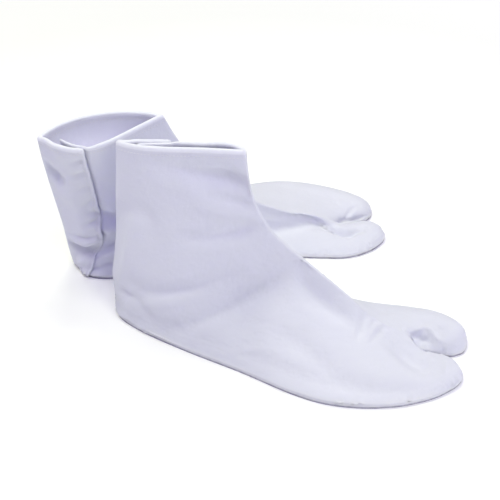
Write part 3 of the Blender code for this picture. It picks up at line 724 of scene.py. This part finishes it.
def flap_panel(sock):
    """The part of the outer upper that wraps the heel and laps over the inner upper."""
    form = fine_form(sock["name"], "inner")
    normals = outward_normals(form, "inner")
    rows = []
    for index in range(FLAP_END_ROW * FINE_PER_ROW + 1):
        line = form[index]
        flap, edge = lap_widths(sock, index / FINE_PER_ROW)
        wrap = edge * np.linspace(0.0, 1.0, WRAP_DIVISIONS + 1) ** WRAP_POWER
        lap = np.linspace(edge, flap, LAP_DIVISIONS + 1)[1:]
        places = np.concatenate([wrap, lap])
        from_front = path_lengths(line)[-1] - places
        points = points_along(line, from_front)
        directions = values_along(line, normals[index], from_front)
        if index >= HEEL_LINE:
            directions[0, 2] = 0.0
        lift = LAP_LIFT * ease(places, edge - WRAP_EASE, edge - 1.0)
        raised = points + directions * lift[:, None]
        raised[:, 2] = np.maximum(raised[:, 2], SEAM_HEIGHT)
        rows.append(raised)
    panel = np.array(rows)
    free = ease(column_lengths(panel), 0.0, EDGE_CLEARANCE)
    free = free * (1.0 - ease(row_numbers(panel), *FLAP_FOLDS_END))[:, None]
    return press(panel, "inner", FOLDS[sock["name"]]["flap"], free)


def edge_groove(grid, distance, at, depth, half):
    """Sink a line of sewing that runs at a distance from a border."""
    amount = depth * np.exp(-(((distance - at) / GROOVE_WIDTH) ** 2))
    return grid - outward_normals(grid, half) * amount[:, :, None]


def cloth_uv(mesh):
    """The cloth's own map of its flat sizes, which its weave follows."""
    layers = mesh.loops.layers.uv
    return layers.get("UVMap") or layers.new("UVMap")


def add_cloth(mesh, grid, walls):
    """Add a grid of points as cloth, with its own flat sizes as UV, in metres."""
    rows, columns = grid.shape[:2]
    made = bmesh.ops.create_grid(mesh, x_segments=columns - 1, y_segments=rows - 1, size=1.0)
    across = column_lengths(grid)
    down = row_lengths(grid)
    uv_layer = cloth_uv(mesh)
    wall_layer = mesh.verts.layers.float["wall"]
    places = {}
    for number, vert in enumerate(made["verts"]):
        row, column = divmod(number, columns)
        vert.co = grid[row, column]
        vert[wall_layer] = walls[row, column]
        places[vert] = (across[row, column] * MM, down[row, column] * MM)
    for vert in made["verts"]:
        for loop in vert.link_loops:
            loop[uv_layer].uv = places[vert]


def face_outward(mesh, probe_side):
    """Turn all faces of an open sheet so that those on one side point that way."""
    bmesh.ops.recalc_face_normals(mesh, faces=mesh.faces)
    lean = sum(
        face.normal.y * face.calc_area()
        for face in mesh.faces
        if face.calc_center_median().y * probe_side > 0.0
    )
    if lean * probe_side < 0.0:
        bmesh.ops.reverse_faces(mesh, faces=mesh.faces)
    mesh.normal_update()


def border_directions(border):
    """For each border point, the way out of the cloth along its own surface."""
    beyond = {}
    for edge in border:
        first, second = edge.verts
        along = (second.co - first.co).normalized()
        away = 0.5 * (first.co + second.co) - edge.link_faces[0].calc_center_median()
        away = (away - along * away.dot(along)).normalized()
        for vert in edge.verts:
            beyond[vert] = beyond.get(vert, Vector()) + away
    return {vert: away.normalized() for vert, away in beyond.items()}


def of_kind(items, kind):
    """The items of a mesh operator's result that are of one kind."""
    return [item for item in items if isinstance(item, kind)]


def close_wall(mesh):
    """Give a sheet its thickness on the inside, with round edges."""
    wall_layer = mesh.verts.layers.float["wall"]
    uv_layer = cloth_uv(mesh)
    sheet = list(mesh.verts)
    faces = list(mesh.faces)
    ring = [edge for edge in mesh.edges if edge.is_boundary]
    beyond = border_directions(ring)
    normals = {vert: vert.normal.copy() for vert in sheet}
    uvs = {vert: vert.link_loops[0][uv_layer].uv.copy() for vert in beyond}
    copy = bmesh.ops.duplicate(mesh, geom=sheet + list(mesh.edges) + faces)
    twins = copy["vert_map"]
    for vert in sheet:
        twins[vert].co = vert.co - normals[vert] * vert[wall_layer]
    bmesh.ops.reverse_faces(mesh, faces=of_kind(copy["geom"], bmesh.types.BMFace))
    owner = {vert: vert for vert in beyond}
    for step in range(1, CAP_STEPS + 1):
        grown = bmesh.ops.extrude_edge_only(mesh, edges=ring)["geom"]
        added = of_kind(grown, bmesh.types.BMVert)
        sources = {}
        for vert in added:
            links = (edge.other_vert(vert) for edge in vert.link_edges)
            sources[vert] = next(owner[link] for link in links if link in owner)
        owner.update(sources)
        for face in of_kind(grown, bmesh.types.BMFace):
            for loop in face.loops:
                loop[uv_layer].uv = uvs[owner[loop.vert]]
        ring = of_kind(grown, bmesh.types.BMEdge)
        if step < CAP_STEPS:
            angle = math.pi * step / CAP_STEPS
            for vert in added:
                start = owner[vert]
                radius = 0.5 * start[wall_layer]
                across = normals[start] * (math.cos(angle) - 1.0)
                vert.co = start.co + radius * (across + beyond[start] * math.sin(angle))
        else:
            targets = {vert: twins[owner[vert]] for vert in added}
            bmesh.ops.weld_verts(mesh, targetmap=targets)


def to_pair(sock, point):
    """A point of a sock's own frame, placed in the pair and in metres."""
    turn = sock["turn"]
    along = point.x * sock["slack"]
    side = point.y * sock["mirror"]
    heel_x, heel_y = sock["heel"]
    return Vector((
        (heel_x + along * math.cos(turn) - side * math.sin(turn) - PAIR_CENTRE[0]) * MM,
        (heel_y + along * math.sin(turn) + side * math.cos(turn) - PAIR_CENTRE[1]) * MM,
        point.z * MM,
    ))


def add_object(name, data):
    """Put data into the scene as a new object."""
    item = bpy.data.objects.new(name, data)
    bpy.context.collection.objects.link(item)
    return item


def finish_piece(sock, mesh, name, material):
    """Place a piece in the pair and make it a named object."""
    for vert in mesh.verts:
        vert.co = to_pair(sock, vert.co)
    if sock["mirror"] < 0.0:
        bmesh.ops.reverse_faces(mesh, faces=mesh.faces)
    full_name = sock["name"] + "_" + name
    data = bpy.data.meshes.new(full_name)
    mesh.to_mesh(data)
    mesh.free()
    data.shade_smooth()
    data.materials.append(material)
    piece = add_object(full_name, data)
    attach(piece, "root")
    return piece


def hem_walls(grid, settings, fullness=0.0):
    """Thickness of the cloth: doubled over the hem at the cuff, single below."""
    below = row_lengths(grid)
    hem = 1.0 - ease(below, settings.hem_height / MM, settings.hem_height / MM + HEM_EDGE_STEP)
    single = settings.wall / MM
    rim = settings.hem_wall / MM * (1.0 + fullness * (1.0 - ease(below, *RIM_ROLL)))
    return single + (rim - single) * hem


def hem_sewing(settings):
    """How far below the cuff the hem's line of sewing runs."""
    return settings.hem_height / MM - HEM_SEWING_INSET


def sewn(grid, half, settings):
    """Cloth with its hem's line of sewing sunk in."""
    return edge_groove(grid, row_lengths(grid), hem_sewing(settings), HEM_GROOVE, half)


def outer_grids(sock, settings):
    """The outer half's cloth, and its flap with a sewn edge."""
    outer = sewn(fine_form(sock["name"], "outer"), "outer", settings)
    flap = flap_panel(sock)
    lengths = column_lengths(flap)
    inset = settings.edge_stitch / MM
    groove = edge_groove(flap, lengths[:, -1:] - lengths, inset, EDGE_GROOVE, "inner")
    flap = flap + (groove - flap) * ease(lengths, 0.0, EDGE_CLEARANCE)[:, :, None]
    return outer, sewn(flap, "inner", settings)


def make_upper(sock, half, sheets, material):
    """Join sheets of cloth into one upper with thickness, as a finished piece."""
    mesh = bmesh.new()
    mesh.verts.layers.float.new("wall")
    for grid, walls in sheets:
        add_cloth(mesh, grid, walls)
    bmesh.ops.remove_doubles(mesh, verts=mesh.verts, dist=MERGE_DISTANCE)
    face_outward(mesh, SIDE[half])
    close_wall(mesh)
    return finish_piece(sock, mesh, half + "_upper_cloth", material)


def build_outer_upper(sock, settings, material):
    """The outer upper, whose flap is folded back and sewn along its free edge."""
    outer, flap = outer_grids(sock, settings)
    seam = slice(0, HEEL_LINE + 1)
    flap[seam, 0] = outer[seam, -1]
    lengths = column_lengths(flap)
    edge = 1.0 - ease(lengths[:, -1:] - lengths, *FLAP_EDGE_FOLD)
    walls = np.maximum(
        hem_walls(flap, settings, RIM_FULLNESS),
        settings.wall / MM * (1.0 + FLAP_EDGE_FULLNESS * edge),
    )
    sheets = ((outer, hem_walls(outer, settings, RIM_FULLNESS)), (flap, walls))
    return make_upper(sock, "outer", sheets, material)


def build_inner_upper(sock, settings, material):
    """The inner upper, whose rim is thinner where the flap covers it."""
    grid = sewn(inner_panel(sock), "inner", settings)
    from_flap = np.arange(grid.shape[1]) - (grid.shape[1] - LAP_DIVISIONS)
    fullness = RIM_FULLNESS * (1.0 - ease(from_flap, *COVERED_RIM))
    sheets = ((grid, hem_walls(grid, settings, fullness)),)
    return make_upper(sock, "inner", sheets, material)


def sole_outline(sock):
    """The sole's outline, which follows the lower edges of both uppers."""
    outer = fine_form(sock["name"], "outer")
    inner = fine_form(sock["name"], "inner")
    return np.vstack([
        outer[HEEL_LINE:-1:2, -1],
        outer[-1, -1:0:-3],
        outer[-1:CROTCH_LINE:-2, 0],
        0.5 * (outer[CROTCH_LINE, 0] + inner[CROTCH_LINE, 0]),
        inner[CROTCH_LINE + 2::2, 0],
        inner[-1, 3:-1:3],
        inner[:HEEL_LINE:-2, -1],
    ])


def inset_outline(outline, inset):
    """An outline moved in by the same distance all round."""
    flat = outline[:, :2]
    along = np.roll(flat, -1, axis=0) - np.roll(flat, 1, axis=0)
    along /= np.maximum(np.linalg.norm(along, axis=1, keepdims=True), 1e-9)
    across = np.stack([-along[:, 1], along[:, 0]], axis=1)
    turns = flat * np.roll(flat, -1, axis=0)[:, ::-1]
    area = 0.5 * float((turns[:, 0] - turns[:, 1]).sum())
    moved = outline.copy()
    moved[:, :2] = flat + across * inset * (1.0 if area > 0.0 else -1.0)
    return moved


def build_sole(sock, settings, material):
    """The sole: a doubled layer with a rounded edge, set in from the upper's seam."""
    mesh = bmesh.new()
    outline = inset_outline(sole_outline(sock), SOLE_INSET)
    made = bmesh.ops.create_circle(mesh, segments=len(outline), radius=1.0)
    for vert, (x, y, _) in zip(made["verts"], outline):
        vert.co = (x, y, settings.sole_wall / MM)
    bmesh.ops.triangle_fill(mesh, edges=mesh.edges, use_beauty=True)
    bmesh.ops.recalc_face_normals(mesh, faces=mesh.faces)
    top = list(mesh.faces)
    if top[0].normal.z < 0.0:
        bmesh.ops.reverse_faces(mesh, faces=top)
    walls = bmesh.ops.extrude_face_region(mesh, geom=top, use_keep_orig=True)
    for vert in of_kind(walls["geom"], bmesh.types.BMVert):
        vert.co.z = 0.0
    bmesh.ops.recalc_face_normals(mesh, faces=mesh.faces)
    ridges = [
        edge for edge in mesh.edges
        if len(edge.link_faces) == 2 and abs(edge.calc_face_angle(0.0)) > SOLE_RIDGE_ANGLE
        and abs(edge.verts[0].co.z - edge.verts[1].co.z) < LEVEL_TOLERANCE
    ]
    bmesh.ops.bevel(mesh, geom=ridges, offset=SOLE_ROUNDING, segments=3, affect="EDGES",
                    profile=0.5, clamp_overlap=True, material=-1)
    uv_layer = cloth_uv(mesh)
    for face in mesh.faces:
        for loop in face.loops:
            loop[uv_layer].uv = (loop.vert.co.x * MM, loop.vert.co.y * MM)
    return finish_piece(sock, mesh, "sole_cloth", material)


def line_beside(grid, rows, inset):
    """Points along a line of sewing that runs beside a grid's last column."""
    lengths = column_lengths(grid)
    return np.array([
        values_along(grid[row], grid[row], [lengths[row, -1] - inset])[0] for row in rows
    ])


def line_across(grid, below):
    """Points along a line of sewing that runs at a depth below the cuff."""
    lengths = row_lengths(grid)
    return np.array([
        [np.interp(below, lengths[:, column], grid[:, column, axis]) for axis in range(3)]
        for column in range(grid.shape[1])
    ])


def normals_near(grid, half, points):
    """Outward unit normals of a grid, at its samples nearest to some points."""
    flat = grid.reshape(-1, 3)
    normals = outward_normals(grid, half).reshape(-1, 3)
    found = [normals[np.argmin(((flat - point) ** 2).sum(axis=1))] for point in points]
    return np.array(found)


def sew(mesh, line, normals, lift, settings):
    """Small raised stitches, evenly spaced along a line."""
    lengths = path_lengths(line)
    pitch = settings.stitch_pitch / MM
    count = int(lengths[-1] / pitch)
    reach = STITCH_SHARE * pitch
    for number in range(count):
        centre_at = (number + 0.5) * lengths[-1] / count
        ends = points_along(line, [centre_at - reach, centre_at, centre_at + reach])
        normal = Vector(values_along(line, normals, [centre_at])[0]).normalized()
        along = Vector(ends[2] - ends[0]).normalized()
        side = along.cross(normal).normalized()
        normal = side.cross(along)
        turn = Matrix((along, side, normal)).transposed().to_4x4()
        place = Vector(ends[1]) + normal * lift
        size = Matrix.Diagonal((reach, STITCH_RADIUS, STITCH_RADIUS, 1.0))
        bmesh.ops.create_uvsphere(
            mesh, u_segments=6, v_segments=4, radius=1.0,
            matrix=Matrix.Translation(place) @ turn @ size,
        )


def build_stitches(sock, settings, material):
    """The visible sewing: hems, the flap's edge and the underlap's edge."""
    outer, flap = outer_grids(sock, settings)
    inner = sewn(inner_panel(sock), "inner", settings)
    mesh = bmesh.new()
    for grid, half in ((outer, "outer"), (flap, "inner"), (inner, "inner")):
        line = line_across(grid, hem_sewing(settings))
        normals = normals_near(grid, half, line)
        sew(mesh, line, normals, STITCH_LIFT, settings)
        sew(mesh, line, normals, -settings.hem_wall / MM - INSIDE_STITCH_LIFT, settings)
    for grid in (flap, inner):
        line = line_beside(grid, range(*EDGE_SEWING_LINES), settings.edge_stitch / MM)
        sew(mesh, line, normals_near(grid, "inner", line), STITCH_LIFT, settings)
    return finish_piece(sock, mesh, "stitches", material)


def make_node(tree, kind, values=None, **settings):
    """A shader node with its settings, and with inputs as set_inputs takes them."""
    node = tree.nodes.new("ShaderNode" + kind)
    for name, value in settings.items():
        setattr(node, name, value)
    set_inputs(tree, node, values or {})
    return node


def set_inputs(tree, node, values):
    """Give a node's inputs their values, each a socket to link, or a plain value."""
    for label, value in values.items():
        if isinstance(value, bpy.types.NodeSocket):
            tree.links.new(value, node.inputs[label])
        elif value is not None:
            node.inputs[label].default_value = value


def new_group(name, inputs, outputs):
    """A shader node group, its inputs' sockets and its output node.

    An input without a number is a vector, and every output is a number.
    """
    group = bpy.data.node_groups.new(name, "ShaderNodeTree")
    for label, default in inputs.items():
        kind = "NodeSocketVector" if default is None else "NodeSocketFloat"
        socket = group.interface.new_socket(label, in_out="INPUT", socket_type=kind)
        if default is not None:
            socket.default_value = default
    for label in outputs:
        group.interface.new_socket(label, in_out="OUTPUT", socket_type="NodeSocketFloat")
    return group, group.nodes.new("NodeGroupInput").outputs, group.nodes.new("NodeGroupOutput")


def math_node(tree, operation, first, second=None, clamp=False):
    """Result of a Math node whose inputs are sockets or plain numbers."""
    inputs = {0: first, 1: second}
    return make_node(tree, "Math", inputs, operation=operation, use_clamp=clamp).outputs[0]


def noise(tree, vector, name):
    """One of the named noises, from 0 to 1."""
    scale, detail = NOISES[name]
    inputs = {
        "Vector": vector, "Scale": scale, "Detail": detail, "Roughness": NOISE_ROUGHNESS,
    }
    return make_node(tree, "TexNoise", inputs).outputs["Fac"]


def mixed(tree, factor, first, second):
    """A mix of two colours."""
    inputs = {"Factor": factor, "A": first, "B": second}
    return make_node(tree, "Mix", inputs, data_type="RGBA").outputs["Result"]


def bumped(tree, height, distance, strength=None, normal=None):
    """The surface's normal, raised by a height."""
    inputs = {"Height": height, "Distance": distance, "Strength": strength, "Normal": normal}
    return make_node(tree, "Bump", inputs).outputs["Normal"]


def parts_of(tree, vector):
    """The three numbers of a vector."""
    return make_node(tree, "SeparateXYZ", {0: vector}).outputs


def new_material(name):
    """A new material, its node tree and its Principled BSDF."""
    material = bpy.data.materials.new(name)
    material.use_nodes = True
    return material, material.node_tree, material.node_tree.nodes["Principled BSDF"]


def cotton_weave_group():
    """Plain cotton weave: its threads' height, its tone and fuzz, and the mask of a painted
    highlight along its folded rim.
    """
    inputs = {"Cloth": None, "Threads": 1800.0, "Slub": 0.4, "Rim Highlight Width": 0.0}
    group, start, end = new_group("Cotton Weave", inputs, ("Height", "Tone", "Fuzz", "Rim"))
    result = functools.partial(math_node, group)
    cloth = start["Cloth"]
    scaled = make_node(
        group, "VectorMath", {0: cloth, "Scale": start["Threads"]}, operation="SCALE")
    weft, warp, _ = parts_of(group, scaled.outputs[0])
    over_weft, over_warp = (
        result("ABSOLUTE", result("SINE", result("MULTIPLY", part, math.pi)))
        for part in (weft, warp)
    )
    cells = result("ADD", result("FLOOR", weft), result("FLOOR", warp))
    turn = result("MULTIPLY", result("FRACT", result("MULTIPLY", cells, 0.5)), 2.0)
    up = result("MULTIPLY", over_weft, turn)
    down = result("MULTIPLY", over_warp, result("SUBTRACT", 1.0, turn))
    slub = result("MULTIPLY", noise(group, cloth, "slub"), start["Slub"])
    patches = result("MULTIPLY", noise(group, cloth, "patches"), PATCHES_SHARE)
    grains = result("MULTIPLY", noise(group, cloth, "grains"), GRAINS_SHARE)
    # mask of the painted highlight along the folded rim, from the cuff down to its width
    left = result("SUBTRACT", start["Rim Highlight Width"], parts_of(group, cloth)["Y"])
    set_inputs(group, end, {
        "Height": result("ADD", result("ADD", up, down), slub),
        "Tone": result("ADD", patches, grains),
        "Fuzz": noise(group, cloth, "fuzz"),
        "Rim": result("MULTIPLY", left, 1.0 / MM, clamp=True),
    })
    return group


def handling_group():
    """Soft, uneven dips of washed cloth, and a tone that is strongest at the floor and fades
    upwards: light soil on the uppers, painted contact shadow on the sole's edge.
    """
    inputs = {"Place": None, "Soil And Shadow Height": 0.006}
    group, start, end = new_group("Washed, Soiled And Shaded", inputs, ("Dips", "Soil"))
    result = functools.partial(math_node, group)
    place = start["Place"]
    small = result("MULTIPLY", noise(group, place, "small dips"), SMALL_DIPS_SHARE)
    # darker towards the floor: light soil on the uppers, painted contact shadow on the sole's
    # edge
    low = result("DIVIDE", parts_of(group, place)["Z"], start["Soil And Shadow Height"])
    low = result("SUBTRACT", 1.0, low, clamp=True)
    uneven = result("ADD", noise(group, place, "soil"), SOIL_AND_SHADOW_BASE)
    set_inputs(group, end, {
        "Dips": result("ADD", noise(group, place, "broad dips"), small),
        "Soil": result("MULTIPLY", low, uneven, clamp=True),
    })
    return group


def cotton_material(name, colours, make, groups):
    """White cotton with its weave, slight unevenness of tone and dips, a painted highlight along
    the uppers' folded rim, and near the floor light soil on the uppers and a painted contact
    shadow on the sole's edge.
    """
    light, shade, soil, rim = ((*colour, 1.0) for colour in colours)
    weave_group, wash_soil_shadow_group = groups
    material, tree, shader = new_material(name)
    uv = make_node(tree, "UVMap", uv_map="UVMap").outputs["UV"]
    place = make_node(tree, "TexCoord").outputs["Object"]
    inputs = {"Cloth": uv, "Threads": make["threads"], "Rim Highlight Width": make["rim_highlight_width"]}
    weave = make_node(tree, "Group", inputs, node_tree=weave_group).outputs
    inputs = {"Place": place, "Soil And Shadow Height": make["soil_and_shadow_height"]}
    worn_and_shadowed = make_node(tree, "Group", inputs, node_tree=wash_soil_shadow_group).outputs
    tone = mixed(tree, weave["Tone"], shade, light)
    # lighter tone along the folded rim: a painted highlight
    folded = mixed(tree, weave["Rim"], tone, rim)
    fuzz = math_node(tree, "MULTIPLY", weave["Fuzz"], FUZZ_ROUGHNESS)
    dips = bumped(tree, worn_and_shadowed["Dips"], make["dip_depth"], DIPS_STRENGTH)
    # the base colour is mixed near the floor with light soil on the uppers and with a painted
    # contact shadow on the sole's edge
    set_inputs(tree, shader, {
        "Base Color": mixed(tree, worn_and_shadowed["Soil"], folded, soil),
        "Roughness": math_node(tree, "ADD", fuzz, COTTON_ROUGHNESS),
        "Sheen Weight": 0.18,
        "Sheen Roughness": 0.45,
        "Sheen Tint": (0.9, 0.9, 1.0, 1.0),
        "Specular IOR Level": 0.25,
        "Subsurface Weight": 0.25,
        "Subsurface Radius": (1.0, 1.0, 1.1),
        "Subsurface Scale": 0.0012,
        "Normal": bumped(tree, weave["Height"], make["weave_depth"], WEAVE_STRENGTH, dips),
    })


def thread_material(name, colour):
    """Twisted sewing thread."""
    _, tree, shader = new_material(name)
    place = make_node(tree, "TexCoord").outputs["Object"]
    twist = noise(tree, place, "twist")
    shade = (*(THREAD_SHADE * part for part in colour), 1.0)
    set_inputs(tree, shader, {
        "Base Color": mixed(tree, twist, shade, (*colour, 1.0)),
        "Roughness": 0.6,
        "Sheen Weight": 0.1,
        "Normal": bumped(tree, twist, TWIST_DEPTH),
    })


def finishes(settings):
    """The cloth, sole and thread finishes, made once."""
    if bpy.data.materials.get("White Cotton") is None:
        groups = (cotton_weave_group(), handling_group())
        upper = (settings.cloth, settings.cloth_shade, settings.soil, settings.rim)
        # the sole takes the cotton's darker tones as painted shade on its tucked-in edge, and
        # near the floor a dark painted contact shadow
        sole = (settings.cloth_shade, settings.soil, settings.sole_edge_shadow, settings.rim)
        cotton_material("White Cotton", upper, UPPER_COTTON, groups)
        cotton_material("Sole Cotton", sole, SOLE_COTTON, groups)
        thread_material("White Thread", settings.thread)
    return bpy.data.materials


length_property = functools.partial(
    bpy.props.FloatProperty, unit="LENGTH", subtype="DISTANCE")
colour_property = functools.partial(
    bpy.props.FloatVectorProperty, size=3, min=0.0, max=1.0, subtype="COLOR")


class SockSizes(bpy.types.PropertyGroup):
    """Sizes of the cloth and its sewing."""
    wall: length_property(
        name="Cloth Thickness", description="Thickness of the upper's cloth",
        default=0.0010, min=0.0004, max=0.0019)
    hem_wall: length_property(
        name="Hem Thickness", description="Thickness of the folded hem at the cuff",
        default=0.0019, min=0.0008, max=0.0026)
    hem_height: length_property(
        name="Hem Height", description="Height of the folded hem at the cuff",
        default=0.0050, min=0.003, max=0.012)
    sole_wall: length_property(
        name="Sole Thickness", description="Thickness of the doubled sole",
        default=0.0020, min=0.001, max=0.003)
    edge_stitch: length_property(
        name="Edge Sewing Inset", description="From a flap's edge to its line of sewing",
        default=0.0030, min=0.001, max=0.006)
    stitch_pitch: length_property(
        name="Stitch Length", description="Length of one stitch and the gap after it",
        default=0.0024, min=0.0015, max=0.005)


class SockColours(bpy.types.PropertyGroup):
    """Colours of the cloth, the thread and the stage."""
    cloth: colour_property(
        name="Cloth", description="Lightest tone of the cotton",
        default=(0.733, 0.738, 0.84))
    cloth_shade: colour_property(
        name="Cloth Shade", description="Darkest tone of the cotton",
        default=(0.68, 0.685, 0.8))
    soil: colour_property(
        name="Soil", description="Tone of the light soil near the floor",
        default=(0.70, 0.69, 0.72))
    # painted contact shadow: the dark tone of the sole's lower edge near the floor
    sole_edge_shadow: colour_property(
        name="Underside", description="Tone of the sole's worn lower edge",
        default=(0.13, 0.12, 0.2))
    # painted highlight: the lighter tone along the folded rim at the cuff
    rim: colour_property(
        name="Rim", description="Tone of the doubled cloth along the folded rim",
        default=(0.8, 0.805, 0.9))
    thread: colour_property(
        name="Thread", description="Colour of the sewing thread",
        default=(0.78, 0.78, 0.84))
    floor: colour_property(
        name="Floor", description="Colour of the plain floor",
        default=(0.94, 0.94, 0.95))


class SOCKS_OT_outer_uppers(bpy.types.Operator):
    """Make both outer uppers, each with the flap that closes over the heel."""
    bl_idname = "socks.outer_uppers"
    bl_label = "Outer Uppers"

    def execute(self, context):
        settings = context.scene.sock_sizes
        cotton = finishes(context.scene.sock_colours)["White Cotton"]
        for sock in SOCKS.values():
            piece = build_outer_upper(sock, settings, cotton)
            node = sock["name"] + "_outer_upper"
            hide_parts(node)
        return {"FINISHED"}


class SOCKS_OT_inner_uppers(bpy.types.Operator):
    """Make both inner uppers, each with the underlap that the flap closes over."""
    bl_idname = "socks.inner_uppers"
    bl_label = "Inner Uppers"

    def execute(self, context):
        settings = context.scene.sock_sizes
        cotton = finishes(context.scene.sock_colours)["White Cotton"]
        for sock in SOCKS.values():
            piece = build_inner_upper(sock, settings, cotton)
            node = sock["name"] + "_inner_upper"
            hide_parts(node)
        return {"FINISHED"}


class SOCKS_OT_soles(bpy.types.Operator):
    """Make both soles."""
    bl_idname = "socks.soles"
    bl_label = "Soles"

    def execute(self, context):
        settings = context.scene.sock_sizes
        cotton = finishes(context.scene.sock_colours)["Sole Cotton"]
        for sock in SOCKS.values():
            piece = build_sole(sock, settings, cotton)
            node = sock["name"] + "_sole"
            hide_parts(node)
        return {"FINISHED"}


class SOCKS_OT_stitches(bpy.types.Operator):
    """Sew the hems and the edges of the flaps."""
    bl_idname = "socks.stitches"
    bl_label = "Stitches"

    def execute(self, context):
        settings = context.scene.sock_sizes
        thread = finishes(context.scene.sock_colours)["White Thread"]
        for sock in SOCKS.values():
            piece = build_stitches(sock, settings, thread)
        return {"FINISHED"}


class SOCKS_OT_stage(bpy.types.Operator):
    """Make the floor, the soft lights and the camera."""
    bl_idname = "socks.stage"
    bl_label = "Stage"

    def execute(self, context):
        build_floor(tuple(context.scene.sock_colours.floor))
        build_lights()
        build_camera(context.scene)
        context.scene.view_settings.view_transform = "Standard"
        return {"FINISHED"}


def build_floor(colour):
    """A wide plain floor that glows a little."""
    mesh = bmesh.new()
    bmesh.ops.create_grid(mesh, x_segments=1, y_segments=1, size=FLOOR_SIZE)
    data = bpy.data.meshes.new("floor")
    mesh.to_mesh(data)
    mesh.free()
    floor = add_object("floor", data)
    material, tree, shader = new_material("Floor")
    place = make_node(tree, "TexCoord").outputs["Object"]
    away = make_node(tree, "VectorMath", {0: place}, operation="LENGTH").outputs["Value"]
    near, far = FLOOR_GLOW_REACH
    low, high = FLOOR_GLOW
    glow = make_node(tree, "MapRange", {
        "Value": away, "From Min": near, "From Max": far, "To Min": low, "To Max": high,
    })
    set_inputs(tree, shader, {
        "Base Color": (*colour, 1.0),
        "Roughness": 0.9,
        "Specular IOR Level": 0.1,
        "Emission Color": (1.0, 1.0, 1.0, 1.0),
        "Emission Strength": glow.outputs["Result"],
    })
    data.materials.append(material)


def add_lamp(name, kind, place, power, colour):
    """A lamp that the camera doesn't see."""
    data = bpy.data.lights.new(name, kind)
    data.energy = power
    data.color = colour
    lamp = add_object(name, data)
    lamp.location = place
    lamp.visible_camera = False
    return lamp


def build_lights():
    """Soft boxes, faint lamps in the legs and an even blue fill."""
    for name, place, size, power, tint in LIGHTS:
        lamp = add_lamp(name, "AREA", place, power, tint)
        lamp.data.shape = "RECTANGLE"
        lamp.data.size, lamp.data.size_y = size
        aim = Vector(LIGHT_TARGET) - Vector(place)
        lamp.rotation_euler = aim.to_track_quat("-Z", "Y").to_euler()
    for number, (place, power) in enumerate(LEG_LIGHTS):
        lamp = add_lamp("in_leg_%d" % number, "POINT", place, power, LEG_LIGHT_COLOUR)
        lamp.data.shadow_soft_size = LEG_LIGHT_RADIUS
    scene = bpy.context.scene
    scene.world = scene.world or bpy.data.worlds.new("World")
    scene.world.use_nodes = True
    background = scene.world.node_tree.nodes["Background"]
    background.inputs["Color"].default_value = (*WORLD_COLOUR, 1.0)
    background.inputs["Strength"].default_value = WORLD_STRENGTH


def build_camera(scene):
    """A camera that looks down at the pair from the front."""
    data = bpy.data.cameras.new("camera")
    data.lens = CAMERA_LENS
    data.sensor_width = CAMERA_SENSOR
    camera = add_object("camera", data)
    camera.location = CAMERA_PLACE
    camera.rotation_euler = (0.5 * math.pi - CAMERA_TILT, 0.0, 0.0)
    scene.camera = camera


class SOCKS_PT_panel(bpy.types.Panel):
    """Sizes, colours and pieces of the pair of socks."""
    bl_idname = "SOCKS_PT_panel"
    bl_label = "Split-toe Socks"
    bl_space_type = "VIEW_3D"
    bl_region_type = "UI"
    bl_category = "Socks"

    def draw(self, context):
        layout = self.layout
        for settings in (context.scene.sock_sizes, context.scene.sock_colours):
            for name in settings.__annotations__:
                layout.prop(settings, name)
        for operator in OPERATORS:
            layout.operator(operator.bl_idname)


OPERATORS = (
    SOCKS_OT_soles,
    SOCKS_OT_inner_uppers,
    SOCKS_OT_outer_uppers,
    SOCKS_OT_stitches,
    SOCKS_OT_stage,
)
CLASSES = (SockSizes, SockColours) + OPERATORS + (SOCKS_PT_panel,)


def register():
    for item in CLASSES:
        bpy.utils.register_class(item)
    bpy.types.Scene.sock_sizes = bpy.props.PointerProperty(type=SockSizes)
    bpy.types.Scene.sock_colours = bpy.props.PointerProperty(type=SockColours)


def unregister():
    del bpy.types.Scene.sock_colours
    del bpy.types.Scene.sock_sizes
    for item in reversed(CLASSES):
        bpy.utils.unregister_class(item)


def main():
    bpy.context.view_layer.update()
    register()
    for operator in OPERATORS:
        group, name = operator.bl_idname.split(".")
        getattr(getattr(bpy.ops, group), name)()


if __name__ == "__main__":
    main()
